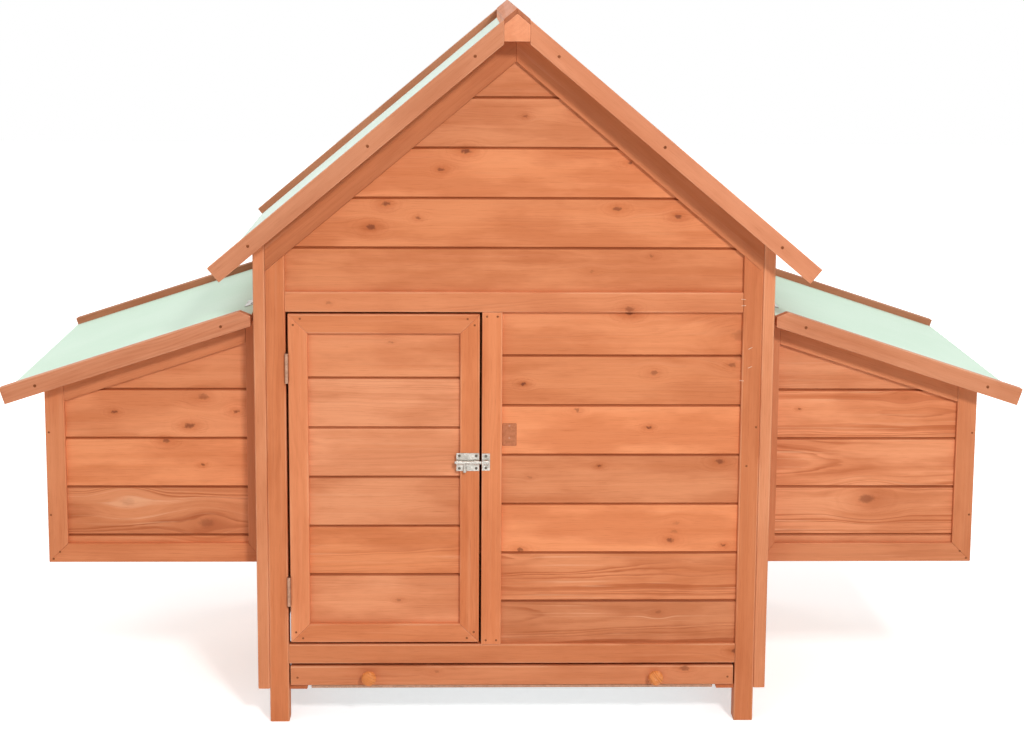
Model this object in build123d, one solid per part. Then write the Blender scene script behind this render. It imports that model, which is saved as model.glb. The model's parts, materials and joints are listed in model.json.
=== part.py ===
"""Wooden chicken coop with a hinged front door, two lidded nest boxes and a pull-out tray.

All sizes are in millimetres and degrees. X runs to the right, Y to the back and Z up,
with the origin on the ground below the middle of the coop.
"""
from build123d import *
import os
from math import cos, radians, sin, tan

os.makedirs("parts", exist_ok=True)

# Timber sections
post = 28.0             # square corner post
member = 29.0           # face width of rails and stiles
lip = 7.0               # how far a frame stands proud of its boards
board_thick = 10.0
housing = 5.0           # how far boards run in behind their frame
ease = 1.2              # planed-off long edges

# Tongue-and-groove boards
board_pitch = 72.5
gable_pitch = 70.7
vee = 2.0               # chamfer that makes the vee joint
tongue_thick = 3.4
tongue_long = 4.0
tongue_play = 0.3
narrowest_board = 12.0

# Carcass
clear_width = 648.0     # between the left and right posts
body_depth = 590.0      # over the front and back posts
side_bottom = 50.0      # ground to the side wall frames
door_opening_width = 278.0
door_opening_height = 489.0
eave_rise = 59.0        # top rail to the roof, at the side wall
front_first_board = 63.0
gable_first_board = 62.0
back_skirt = 33.0
back_stile = 29.0

# Tray
tray_bottom = 55.0
tray_front_height = 29.0
tray_gap = 4.0          # tray front to bottom rail
tray_side_gap = 2.0
tray_front_thick = 17.0
tray_rail_thick = 14.0
tray_rail_height = 26.0
tray_inset = 7.0        # side rails stand in from the ends of the front
tray_back_gap = 16.0
pan_thick = 1.0
runner_width = 26.0
runner_thick = 7.0
runner_setback = 5.0
runner_play = 0.3
knob_spread = 416.0
knob_radius = 11.0
knob_neck = 6.0
knob_neck_long = 4.0
knob_swell = 11.0
knob_face = 7.5
knob_long = 19.0

# Roof
roof_pitch = 40.0
eave_overhang = 58.0    # past the side wall
roof_overhang = 45.0    # past the front and back
rafter_width = 34.0
roof_thick = 10.0
sheet_thick = 1.5
barge_width = 25.5
barge_thick = 15.0
barge_drop = 3.0        # below the underside of the panel
ridge_width = 36.0
ridge_side = 22.6
cap_thick = 6.0

# Nest boxes
nest_width = 306.0      # past the side wall
nest_height = 360.0     # at the side wall
nest_setback = 45.0     # behind the front of the posts
nest_member = 28.0
nest_inner_stile = 23.0
nest_first_board = 11.0
nest_floor_thick = 10.0
nest_floor_rise = 3.0
way_width = 380.0       # way through from the cabin
way_sill_boards = 3     # whole side wall boards below the way
way_boards = 4          # boards cut away for it

# Nest box lids
lid_drop = 107.0        # roof to the lid's seat, at the side wall
lid_pitch = 18.0
lid_seat_gap = 0.5
lid_wall_gap = 5.0
lid_reach = 57.0        # past the nest box
lid_setback = 11.5      # behind the front of the posts
lid_thick = 10.0
lid_barge_width = 25.0
lid_barge_thick = 15.0
lid_barge_drop = 2.5
lid_clip_long = 16.0    # clipped inner corner of a lid barge
lid_clip_high = 11.8
lid_batten_width = 28.0
lid_batten_thick = 12.0
lid_batten_long = 400.0
lid_batten_inset = 30.0
hinge_rail_rise = 4.0
hinge_rail_height = 38.0
side_top_rail = 30.0

# Door
door_gap = 3.0
door_hinge_gap = 3.3
door_member = 28.0
door_first_board = 72.0

# Door hinges
door_hinge_long = 43.0
door_hinge_width = 19.0
door_knuckle = 2.8
door_pin = 1.2
door_leaf_thick = 1.1
door_hinge_margin = 56.0    # door edge to the near end of a hinge
hinge_play = 0.3            # between knuckles
knuckle_play = 0.2          # knuckle to the timber or sheet beside it
knuckle_relief = 0.35       # round the other leaf's knuckles
pin_play = 0.05

# Lid hinges
lid_hinge_long = 50.0
lid_hinge_width = 24.0
lid_knuckle = 3.0
lid_pin = 1.5
lid_leaf_thick = 1.2
lid_hinge_spread = 300.0

# Barrel bolt
bolt_height = 269.0         # above the bottom edge of the door
bolt_radius = 2.5
bolt_long = 38.0
bolt_stand = 3.5            # plate to bolt centre
bolt_play = 0.06
bolt_show = 2.7             # past the door's edge when drawn back
bolt_knob_back = 23.7       # tip to knob
bolt_knob_radius = 1.9
bolt_knob_drop = 14.6
bolt_grip_radius = 2.6
bolt_grip_long = 6.0
bolt_grip_ease = 0.8
latch_plate_width = 32.5
latch_plate_height = 26.0
latch_plate_thick = 1.2
latch_edge_gap = 0.5
strap_wall = 0.9
strap_width = 7.5
keeper_width = 11.5
keeper_height = 25.0
keeper_gap = 0.5
keeper_play = 0.4
keeper_strap = 7.5

# Perch
perch_width = 30.0
perch_height = 26.0
perch_round = 7.0
perch_x = 150.0
perch_z = 330.0
cleat_width = 58.0
cleat_thick = 18.0
cleat_below = 18.0
cleat_beside = 18.0

# Worked-out places
frame_thick = lip + board_thick
x_in = clear_width / 2
x_out = x_in + post
x_side = x_out + frame_thick
y_face = -body_depth / 2
y_board = y_face + lip
y_back = y_face + frame_thick

z_tray_top = tray_bottom + tray_front_height
z_rail0 = z_tray_top + tray_gap
z_open0 = z_rail0 + member
z_open1 = z_open0 + door_opening_height
z_rail1 = z_open1 + member
z_eave = z_rail1 + eave_rise

x_mullion0 = -x_in + door_opening_width
x_mullion1 = x_mullion0 + member

roof_slope = tan(radians(roof_pitch))
roof_cos = cos(radians(roof_pitch))
roof_sin = sin(radians(roof_pitch))
barge_top = barge_width - barge_drop
ridge_half = ridge_width / 2
y_roof = y_face - roof_overhang
x_eave = x_side + eave_overhang

lid_slope = tan(radians(lid_pitch))
lid_cos = cos(radians(lid_pitch))
lid_sin = sin(radians(lid_pitch))
lid_barge_top = lid_barge_width - lid_barge_drop
lid_top = lid_thick + sheet_thick
z_seat = z_eave - lid_drop
z_nest = z_seat - nest_height
x_nest0 = x_side - lip
x_nest1 = x_side + nest_width
y_nest = y_face + nest_setback
y_nest_board = y_nest + lip
y_nest_in = y_nest + frame_thick
x_lid0 = x_side + lid_wall_gap
x_lid1 = x_nest1 + lid_reach
y_lid = y_face + lid_setback
x_lid_axis = x_side + lid_knuckle + knuckle_play
lid_axis_rise = lid_top + lid_knuckle + knuckle_play

z_hinge_rail0 = z_seat + hinge_rail_rise
z_hinge_rail1 = z_hinge_rail0 + hinge_rail_height
z_side_top = z_eave - side_top_rail
y_stile = y_face + post

x_door0 = -x_in + door_hinge_gap
x_door1 = x_mullion0 - door_gap
z_door0 = z_open0 + door_gap
z_door1 = z_open1 - door_gap
x_door_axis = -x_in + door_hinge_gap / 2
y_door_axis = y_face - door_knuckle - knuckle_play

y_plate = y_face - latch_plate_thick
y_bolt = y_plate - bolt_stand
z_bolt = z_door0 + bolt_height
x_bolt_tip = x_door1 + bolt_show


def z_under(x):
    """Height of the roof's underside."""
    return z_eave + roof_slope * (x_side - abs(x))


def z_rafter(x):
    """Height of the lower edge of the gable rafters."""
    return z_under(x) - rafter_width / roof_cos


def z_nest_top(x):
    """Height of the sloping tops of the nest box walls."""
    return z_seat - lid_slope * (x - x_side)


def block(x0, x1, y0, y1, z0, z1):
    """Plain box between two corners."""
    return Pos((x0 + x1) / 2, (y0 + y1) / 2, (z0 + z1) / 2) * Box(x1 - x0, y1 - y0, z1 - z0)


def stick(x0, x1, y0, y1, z0, z1, axis):
    """Planed timber with its long edges eased."""
    timber = block(x0, x1, y0, y1, z0, z1)
    return chamfer(timber.edges().filter_by(axis), ease)


def prism(points, y0, y1):
    """Outline in X and Z, carried from y0 to y1."""
    outline = Plane(origin=(0, y1, 0), x_dir=(1, 0, 0), z_dir=(0, -1, 0)) * Polygon(*points, align=None)
    return extrude(outline, y1 - y0, dir=(0, -1, 0))


def eased(timber, axis):
    """Ease the edges of a shaped timber that run along one axis."""
    return chamfer(timber.edges().filter_by(axis), ease)


def rod(start, direction, radius, length):
    """Round bar from a point along a direction."""
    return extrude(Plane(origin=start, z_dir=direction) * Circle(radius), length)


def mirrored(pieces, plane):
    """The same pieces on the other side of a plane."""
    return [mirror(piece, about=plane) for piece in pieces]


def board_outline(low, high, is_first, is_last):
    """Section of one board: depth from its face, then height."""
    middle = board_thick / 2
    tongue = tongue_thick / 2
    groove = tongue + tongue_play
    depth = tongue_long + tongue_play
    lower = [(board_thick, low), (0, low)]
    if not is_first:
        lower = [(board_thick, low), (middle + groove, low), (middle + groove, low + depth),
                 (middle - groove, low + depth), (middle - groove, low), (vee, low), (0, low + vee)]
    upper = [(0, high), (board_thick, high)]
    if not is_last:
        upper = [(0, high - vee), (vee, high), (middle - tongue, high),
                 (middle - tongue, high + tongue_long), (middle + tongue, high + tongue_long),
                 (middle + tongue, high), (board_thick, high)]
    return Polygon(*lower, *upper, align=None)


def boarding(plane, length, low, high, first_seam, pitch):
    """Boards laid across a field, from its lowest to its highest edge."""
    seams = [low]
    seam = first_seam
    while seam < high - narrowest_board:
        seams.append(seam)
        seam += pitch
    seams.append(high)
    last = len(seams) - 2
    sections = [board_outline(seams[i], seams[i + 1], i == 0, i == last) for i in range(last + 1)]
    return [extrude(plane * section, length, dir=plane.z_dir) for section in sections]


def front_plane(x, y):
    """Boards of a wall that faces the front."""
    return Plane(origin=(x, y, 0), x_dir=(0, 1, 0), z_dir=(1, 0, 0))


def right_plane(x, y):
    """Boards of a wall that faces the right."""
    return Plane(origin=(x, y, 0), x_dir=(-1, 0, 0), z_dir=(0, 1, 0))


def hinge_leaf(width, offset, thick, long, radius, knuckles, pin):
    """One leaf of a butt hinge about its own Z axis, with the pin or with bored knuckles."""
    clear = radius + knuckle_relief
    up = (0, 0, 1)
    leaf = block(clear, width, offset, offset + thick, 0, long)
    for low, high in knuckles:
        leaf += block(0, clear + ease, offset, offset + thick, low, high)
        leaf += rod((0, 0, low), up, radius, high - low)
    if pin > 0:
        return leaf + rod((0, 0, 0), up, pin, long)
    return leaf - rod((0, 0, 0), up, -pin, long)


def knuckle_spans(long):
    """Outer knuckles of the fixed leaf, and the middle one of the moving leaf."""
    third = long / 3
    return [(0, third), (long - third, long)], [(third + hinge_play, long - third - hinge_play)]


# Fields of boards, which are cut out of the frames round them

def front_field():
    """Space of the boards to the right of the door."""
    return block(x_mullion1 - housing, x_in + housing, y_board, y_back, z_open0 - housing, z_open1 + housing)


def gable_outline():
    """Gable boards' outline, housed in the rafters, posts and top rail."""
    wide = x_in + housing
    rise = housing / roof_cos
    corner = z_rafter(wide) + rise
    return [(-wide, z_rail1 - housing), (wide, z_rail1 - housing), (wide, corner),
            (0, z_rafter(0) + rise), (-wide, corner)]


def gable_field():
    """Space of the front gable boards."""
    return prism(gable_outline(), y_board, y_back)


def back_fields():
    """Spaces of the back wall boards, one each side of the middle stile."""
    half = back_stile / 2
    right = block(half - housing, x_in + housing, -y_back, -y_board, z_open0 - housing, z_open1 + housing)
    return [right, mirror(right, about=Plane.YZ)]


def side_field(low, high):
    """Space of a run of right side wall boards."""
    return block(x_out, x_nest0, y_stile - housing, housing - y_stile, low - housing, high + housing)


# Carcass

def corner_posts():
    """Posts with tops cut to the rafters, each with its own housings."""
    outline = [(x_in, 0), (x_out, 0), (x_out, z_rafter(x_out)), (x_in, z_rafter(x_in))]
    right = eased(prism(outline, y_face, y_face + post), Axis.Z)
    left = mirror(right, about=Plane.YZ)
    back_right, back_left = mirrored([right, left], Plane.XZ)
    gable_back = mirror(gable_field(), about=Plane.XZ)
    back_walls = back_fields()
    return {
        "front_left_post": [left - gable_field()],
        "front_right_post": [right - gable_field() - front_field()],
        "back_left_post": [back_left - gable_back - back_walls[1]],
        "back_right_post": [back_right - gable_back - back_walls[0]],
    }


def front_rails():
    """Top and bottom rails of the front."""
    low = stick(-x_in, x_in, y_face, y_back, z_rail0, z_open0, Axis.X) - front_field()
    high = stick(-x_in, x_in, y_face, y_back, z_open1, z_rail1, Axis.X) - front_field() - gable_field()
    return [low, high]


def front_mullion():
    """Upright beside the door."""
    return [stick(x_mullion0, x_mullion1, y_face, y_back, z_open0, z_open1, Axis.Z) - front_field()]


def front_boards():
    """Boards to the right of the door."""
    start = x_mullion1 - housing
    return boarding(front_plane(start, y_board), x_in + housing - start, z_open0 - housing,
                    z_open1 + housing, z_open0 + front_first_board, board_pitch)


def gable_boards():
    """Front gable boards, cut to the slope of the rafters."""
    outline = gable_outline()
    wide = outline[1][0]
    boards = boarding(front_plane(-wide, y_board), 2 * wide, outline[0][1], outline[3][1],
                      z_rail1 + gable_first_board, gable_pitch)
    return [board & gable_field() for board in boards]


def gable_rafters():
    """Two front rafters, mitred at the top and notched for the ridge beam."""
    seat = z_under(ridge_half)
    outline = [(0, z_rafter(0)), (x_out, z_rafter(x_out)), (x_out, z_under(x_out)),
               (ridge_half, seat), (0, seat)]
    right = prism(outline, y_face, y_back) - gable_field()
    return [right, mirror(right, about=Plane.YZ)]


def back_frame():
    """Rails, middle stile and skirt of the back."""
    half = back_stile / 2
    fields = back_fields()
    gable_back = mirror(gable_field(), about=Plane.XZ)
    low = stick(-x_in, x_in, -y_back, -y_face, z_rail0, z_open0, Axis.X)
    high = stick(-x_in, x_in, -y_back, -y_face, z_open1, z_rail1, Axis.X) - gable_back
    stile = stick(-half, half, -y_back, -y_face, z_open0, z_open1, Axis.Z)
    skirt = stick(-x_in, x_in, -y_back, -y_face, z_rail0 - back_skirt, z_rail0, Axis.X)
    return [timber - fields[0] - fields[1] for timber in (low, high, stile)] + [skirt]


def back_boards():
    """Back wall boards, both sides of the middle stile."""
    start = back_stile / 2 - housing
    front = boarding(front_plane(start, y_board), x_in + housing - start, z_open0 - housing,
                     z_open1 + housing, z_open0 + front_first_board, board_pitch)
    right = mirrored(front, Plane.XZ)
    return right + mirrored(right, Plane.YZ)


def side_frame():
    """Right side wall: two stiles, bottom rail, hinge rail and bevelled top rail."""
    fields = side_field(side_bottom + member, z_hinge_rail0) + side_field(z_hinge_rail1, z_side_top)
    outline = [(x_out, side_bottom), (x_side, side_bottom), (x_side, z_eave), (x_out, z_under(x_out))]
    front_stile = eased(prism(outline, y_face, y_stile), Axis.Z)
    top_outline = [(x_out, z_side_top), (x_side, z_side_top), (x_side, z_eave), (x_out, z_under(x_out))]
    low = stick(x_out, x_side, y_stile, -y_stile, side_bottom, side_bottom + member, Axis.Y)
    hinge = stick(x_out, x_side, y_stile, -y_stile, z_hinge_rail0, z_hinge_rail1, Axis.Y)
    top = prism(top_outline, y_stile, -y_stile)
    return [timber - fields for timber in
            (front_stile, mirror(front_stile, about=Plane.XZ), low, hinge, top)]


def side_boards():
    """Right side wall boards, with the way through to the nest box cut from seam to seam."""
    start = y_stile - housing
    low = side_bottom + member
    sill = low + front_first_board + (way_sill_boards - 1) * board_pitch
    way = block(x_out - lip, x_side, -way_width / 2, way_width / 2, sill, sill + way_boards * board_pitch)
    lower = boarding(right_plane(x_nest0, start), -2 * start, low - housing, z_hinge_rail0 + housing,
                     low + front_first_board, board_pitch)
    upper = boarding(right_plane(x_nest0, start), -2 * start, z_hinge_rail1 - housing,
                     z_side_top + housing, z_side_top + housing, board_pitch)
    return [board - way for board in lower] + upper


def perch():
    """Round-edged bar from the front wall to the back wall."""
    half = perch_width / 2
    bar = block(perch_x - half, perch_x + half, y_back, -y_back, perch_z, perch_z + perch_height)
    return [fillet(bar.edges().filter_by(Axis.Y), perch_round)]


def perch_cleats():
    """Notched blocks that the perch drops into."""
    half = perch_width / 2
    wide = cleat_width / 2
    top = perch_z + cleat_beside
    front = block(perch_x - wide, perch_x + wide, y_back, y_back + cleat_thick, perch_z - cleat_below, top)
    front -= block(perch_x - half, perch_x + half, y_back, y_back + cleat_thick, perch_z, top)
    return [front, mirror(front, about=Plane.XZ)]


def tray_runners():
    """Flat strips between the posts that carry the tray."""
    top = tray_bottom - runner_play
    right = block(x_in - runner_width, x_in, y_face + runner_setback, -y_back, top - runner_thick, top)
    return [right, mirror(right, about=Plane.YZ)]


# Roof

def roof_point(x, rise):
    """Point of the right roof, a height square to the slope above its underside."""
    return (x, z_under(x) + rise / roof_cos)


def eave_point(rise, past=0.0):
    """Point of the square-cut eave."""
    return roof_point(x_eave - (barge_top - rise) * roof_sin + past * roof_cos, rise)


def roof_slab(low, high, y0, y1):
    """Piece of the right roof from ridge beam to eave."""
    outline = [roof_point(ridge_half, low), eave_point(low), eave_point(high), roof_point(ridge_half, high)]
    return prism(outline, y0, y1)


def roof_panel():
    """Right roof panel between the barge boards."""
    return [roof_slab(0, roof_thick, y_roof + barge_thick, -y_roof - barge_thick)]


def roof_sheet():
    """Sheet covering, folded down over the eave."""
    top = roof_thick + sheet_thick
    outline = [roof_point(ridge_half, roof_thick), eave_point(roof_thick), eave_point(0),
               eave_point(0, sheet_thick), eave_point(top, sheet_thick), roof_point(ridge_half, top)]
    return [prism(outline, y_roof + barge_thick, -y_roof - barge_thick)]


def roof_barges():
    """Front and back barge boards of the right roof."""
    front = roof_slab(-barge_drop, barge_top, y_roof, y_roof + barge_thick)
    return [front, mirror(front, about=Plane.XZ)]


def ridge_beam():
    """Five-sided beam that the roof panels butt against."""
    seat = z_under(ridge_half)
    shoulder = seat + ridge_side
    outline = [(-ridge_half, seat), (ridge_half, seat), (ridge_half, shoulder),
               (0, shoulder + ridge_half * roof_slope), (-ridge_half, shoulder)]
    return [prism(outline, y_roof, -y_roof)]


def ridge_caps():
    """Two strips on the ridge beam's slopes."""
    shoulder = z_under(ridge_half) + ridge_side
    peak = shoulder + ridge_half * roof_slope
    rise = cap_thick / roof_cos
    right = prism([(0, peak), (ridge_half, shoulder), (ridge_half, shoulder + rise), (0, peak + rise)],
                  y_roof, -y_roof)
    return [right, mirror(right, about=Plane.YZ)]


# Nest box on the right

def nest_field_outline():
    """Outline of the boards in the nest box's front wall."""
    start = x_nest0 + nest_inner_stile - housing
    stop = x_nest1 - nest_member + housing
    drop = (nest_member - housing) / lid_cos
    low = z_nest + nest_member - housing
    return [(start, low), (stop, low), (stop, z_nest_top(stop) - drop), (start, z_nest_top(start) - drop)]


def nest_front_frame():
    """Front wall frame: mitred lower corners and a sloping top rail between the stiles."""
    inner = x_nest0 + nest_inner_stile
    outer = x_nest1 - nest_member
    rail = z_nest + nest_member
    drop = nest_member / lid_cos
    low = [(x_nest0, z_nest), (x_nest1, z_nest), (outer, rail), (inner, rail)]
    outer_stile = [(x_nest1, z_nest), (x_nest1, z_nest_top(x_nest1)), (outer, z_nest_top(outer)), (outer, rail)]
    inner_stile = [(x_nest0, z_nest), (inner, rail), (inner, z_nest_top(inner)), (x_nest0, z_nest_top(x_nest0))]
    top = [(inner, z_nest_top(inner)), (outer, z_nest_top(outer)),
           (outer, z_nest_top(outer) - drop), (inner, z_nest_top(inner) - drop)]
    field = prism(nest_field_outline(), y_nest_board, y_nest_in)
    return [prism(outline, y_nest, y_nest_in) - field for outline in (low, outer_stile, inner_stile, top)]


def nest_end_field():
    """Space of the boards in the nest box's outer end wall."""
    start = y_nest_in + nest_member - housing
    top = z_nest_top(x_nest1) - nest_member + housing
    return block(x_nest1 - frame_thick, x_nest1 - lip, start, -start, z_nest + nest_member - housing, top)


def nest_end_frame():
    """Outer end wall frame between the front and back walls."""
    inner = x_nest1 - frame_thick
    stile_in = y_nest_in + nest_member
    high = z_nest_top(x_nest1) - nest_member
    upright = [(inner, z_nest), (x_nest1, z_nest), (x_nest1, z_nest_top(x_nest1)), (inner, z_nest_top(inner))]
    bevelled = [(inner, high), (x_nest1, high)] + upright[2:]
    front_stile = prism(upright, y_nest_in, stile_in)
    low = block(inner, x_nest1, stile_in, -stile_in, z_nest, z_nest + nest_member)
    top = prism(bevelled, stile_in, -stile_in)
    return [timber - nest_end_field() for timber in
            (front_stile, mirror(front_stile, about=Plane.XZ), low, top)]


def nest_frame():
    """Front, back and end frames of the nest box."""
    front = nest_front_frame()
    return front + mirrored(front, Plane.XZ) + nest_end_frame()


def nest_boards():
    """Boards of the nest box's three walls."""
    outline = nest_field_outline()
    start, low = outline[0]
    stop = outline[1][0]
    seam = z_nest + nest_member + nest_first_board
    field = prism(outline, y_nest_board, y_nest_in)
    boards = boarding(front_plane(start, y_nest_board), stop - start, low, outline[3][1], seam, board_pitch)
    front = [board & field for board in boards]
    end = nest_end_field().bounding_box()
    end_boards = boarding(right_plane(x_nest1 - lip, end.min.Y), end.size.Y, end.min.Z, end.max.Z,
                          seam, board_pitch)
    return front + mirrored(front, Plane.XZ) + end_boards


def nest_floor():
    """Floor of the nest box, between its walls."""
    low = z_nest + nest_floor_rise
    return [block(x_nest0, x_nest1 - frame_thick, y_nest_in, -y_nest_in, low, low + nest_floor_thick)]


# Lid of the nest box on the right

def lid_point(x, rise):
    """Point of the lid, a height square to the slope above its underside."""
    return (x, z_nest_top(x) + (lid_seat_gap + rise) / lid_cos)


def lid_end(rise, past=0.0):
    """Point of the lid's square-cut outer end."""
    return lid_point(x_lid1 - (lid_barge_top - rise) * lid_sin + past * lid_cos, rise)


def lid_panel():
    """Lid panel with two battens on its underside."""
    outline = [lid_point(x_lid0, 0), lid_end(0), lid_end(lid_thick), lid_point(x_lid0, lid_thick)]
    half = lid_batten_long / 2
    pieces = [prism(outline, y_lid + lid_barge_thick, -y_lid - lid_barge_thick)]
    for start in (x_lid0 + lid_batten_inset, x_nest1 - frame_thick - lid_batten_inset - lid_batten_width):
        stop = start + lid_batten_width
        batten = [lid_point(start, -lid_batten_thick), lid_point(stop, -lid_batten_thick),
                  lid_point(stop, 0), lid_point(start, 0)]
        pieces.append(prism(batten, -half, half))
    return pieces


def lid_sheet():
    """Sheet covering, folded down over the outer end."""
    outline = [lid_point(x_lid0, lid_thick), lid_end(lid_thick), lid_end(0), lid_end(0, sheet_thick),
               lid_end(lid_top, sheet_thick), lid_point(x_lid0, lid_top)]
    return [prism(outline, y_lid + lid_barge_thick, -y_lid - lid_barge_thick)]


def lid_barges():
    """Front and back barge boards of the lid, clipped where they swing past the wall."""
    corner = lid_point(x_lid0, lid_barge_top)
    outline = [lid_point(x_lid0, -lid_barge_drop), lid_end(-lid_barge_drop), lid_end(lid_barge_top),
               lid_point(x_lid0 + lid_clip_long, lid_barge_top), (corner[0], corner[1] - lid_clip_high)]
    front = prism(outline, y_lid, y_lid + lid_barge_thick)
    return [front, mirror(front, about=Plane.XZ)]


def lid_hinges():
    """Fixed leaves with pins on the hinge rail, and moving leaves on the lid's sheet."""
    fixed_spans, moving_spans = knuckle_spans(lid_hinge_long)
    stand = lid_knuckle + knuckle_play
    fixed = hinge_leaf(lid_hinge_width, -stand, lid_leaf_thick, lid_hinge_long, lid_knuckle, fixed_spans, lid_pin)
    moving = hinge_leaf(lid_hinge_width, stand - lid_leaf_thick, lid_leaf_thick, lid_hinge_long,
                        lid_knuckle, moving_spans, -lid_pin - pin_play)
    axis_z = lid_point(x_lid_axis, lid_axis_rise)[1]
    wall_leaves = []
    lid_leaves = []
    for middle in (-lid_hinge_spread / 2, lid_hinge_spread / 2):
        start = (x_lid_axis, middle - lid_hinge_long / 2, axis_z)
        wall_leaves.append(Plane(origin=start, x_dir=(0, 0, 1), z_dir=(0, 1, 0)) * fixed)
        lid_leaves.append(Plane(origin=start, x_dir=(lid_cos, 0, -lid_sin), z_dir=(0, 1, 0)) * moving)
    return wall_leaves, lid_leaves


# Door

def door_field():
    """Space of the door's boards."""
    inset = door_member - housing
    return block(x_door0 + inset, x_door1 - inset, y_board, y_back, z_door0 + inset, z_door1 - inset)


def door_frame():
    """Stiles and rails, mitred at the corners."""
    x0, x1, z0, z1, w = x_door0, x_door1, z_door0, z_door1, door_member
    left = [(x0, z0), (x0 + w, z0 + w), (x0 + w, z1 - w), (x0, z1)]
    right = [(x1, z0), (x1, z1), (x1 - w, z1 - w), (x1 - w, z0 + w)]
    low = [(x0, z0), (x1, z0), (x1 - w, z0 + w), (x0 + w, z0 + w)]
    high = [(x0, z1), (x0 + w, z1 - w), (x1 - w, z1 - w), (x1, z1)]
    stiles = [eased(prism(outline, y_face, y_back), Axis.Z) - door_field() for outline in (left, right)]
    rails = [eased(prism(outline, y_face, y_back), Axis.X) - door_field() for outline in (low, high)]
    return stiles, rails


def door_boards():
    """Boards of the door."""
    inset = door_member - housing
    start = x_door0 + inset
    return boarding(front_plane(start, y_board), x_door1 - inset - start, z_door0 + inset,
                    z_door1 - inset, z_door0 + door_member + door_first_board, board_pitch)


def door_hinges():
    """Fixed leaves with pins on the post, and moving leaves on the door's edge."""
    fixed_spans, moving_spans = knuckle_spans(door_hinge_long)
    half_gap = door_hinge_gap / 2
    reach = door_hinge_width
    fixed = hinge_leaf(reach, half_gap - door_leaf_thick, door_leaf_thick, door_hinge_long,
                       door_knuckle, fixed_spans, door_pin)
    moving = hinge_leaf(reach, -half_gap, door_leaf_thick, door_hinge_long, door_knuckle,
                        moving_spans, -door_pin - pin_play)
    post_leaves = []
    door_leaves = []
    for low in (z_door0 + door_hinge_margin, z_door1 - door_hinge_margin - door_hinge_long):
        place = Plane(origin=(x_door_axis, y_door_axis, low), x_dir=(0, 1, 0), z_dir=(0, 0, 1))
        post_leaves.append(place * fixed)
        door_leaves.append(place * moving)
    return post_leaves, door_leaves


# Barrel bolt

def strap(x0, x1, bore):
    """Bridge over the bolt, standing on a plate."""
    outer = bore + strap_wall
    bridge = rod((x0, y_bolt, z_bolt), (1, 0, 0), outer, x1 - x0)
    bridge += block(x0, x1, y_bolt, y_plate, z_bolt - outer, z_bolt + outer)
    return bridge - rod((x0, y_bolt, z_bolt), (1, 0, 0), bore, x1 - x0)


def latch_plate():
    """Plate on the door with two straps that guide the bolt."""
    x1 = x_door1 - latch_edge_gap
    x0 = x1 - latch_plate_width
    half = latch_plate_height / 2
    bore = bolt_radius + bolt_play
    plate = block(x0, x1, y_plate, y_face, z_bolt - half, z_bolt + half)
    return [plate + strap(x0, x0 + strap_width, bore) + strap(x1 - strap_width, x1, bore)]


def latch_bolt():
    """Bolt with its knob, drawn back."""
    knob_x = x_bolt_tip - bolt_knob_back
    grip_top = z_bolt - bolt_knob_drop + bolt_grip_long
    grip = rod((knob_x, y_bolt, grip_top), (0, 0, -1), bolt_grip_radius, bolt_grip_long)
    bolt = rod((x_bolt_tip - bolt_long, y_bolt, z_bolt), (1, 0, 0), bolt_radius, bolt_long)
    bolt += rod((knob_x, y_bolt, z_bolt), (0, 0, -1), bolt_knob_radius, bolt_knob_drop - bolt_grip_long)
    return [bolt + chamfer(grip.edges().group_by(Axis.Z)[0], bolt_grip_ease)]


def latch_keeper():
    """Keeper on the mullion."""
    x0 = x_mullion0 + keeper_gap
    half = keeper_height / 2
    start = x0 + (keeper_width - keeper_strap) / 2
    plate = block(x0, x0 + keeper_width, y_plate, y_face, z_bolt - half, z_bolt + half)
    return [plate + strap(start, start + keeper_strap, bolt_radius + keeper_play)]


# Tray

def tray_front():
    """Front board of the tray, below the bottom rail."""
    half = x_in - tray_side_gap
    return [stick(-half, half, y_face, y_face + tray_front_thick, tray_bottom, z_tray_top, Axis.X)]


def tray_floor_half():
    """Half the width of the tray over its side rails."""
    return x_in - tray_side_gap - tray_inset


def tray_rails():
    """Side and back rails of the tray."""
    wide = tray_floor_half()
    front = y_face + tray_front_thick
    back = -y_back - tray_back_gap
    low = tray_bottom + pan_thick
    high = low + tray_rail_height
    right = block(wide - tray_rail_thick, wide, front, back, low, high)
    inner = wide - tray_rail_thick
    rear = block(-inner, inner, back - tray_rail_thick, back, low, high)
    return [right, mirror(right, about=Plane.YZ), rear]


def tray_pan():
    """Sheet floor of the tray."""
    wide = tray_floor_half()
    return [block(-wide, wide, y_face + tray_front_thick, -y_back - tray_back_gap,
                  tray_bottom, tray_bottom + pan_thick)]


def tray_knobs():
    """Two turned knobs on the tray front."""
    profile = Polygon((0, 0), (knob_neck, 0), (knob_neck, knob_neck_long), (knob_radius, knob_swell),
                      (knob_face, knob_long), (0, knob_long), align=None)
    knob = Rot(180, 0, 0) * revolve(profile, Axis.Y)
    middle = (tray_bottom + z_tray_top) / 2
    return [Pos(x, y_face, middle) * knob for x in (-knob_spread / 2, knob_spread / 2)]


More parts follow.
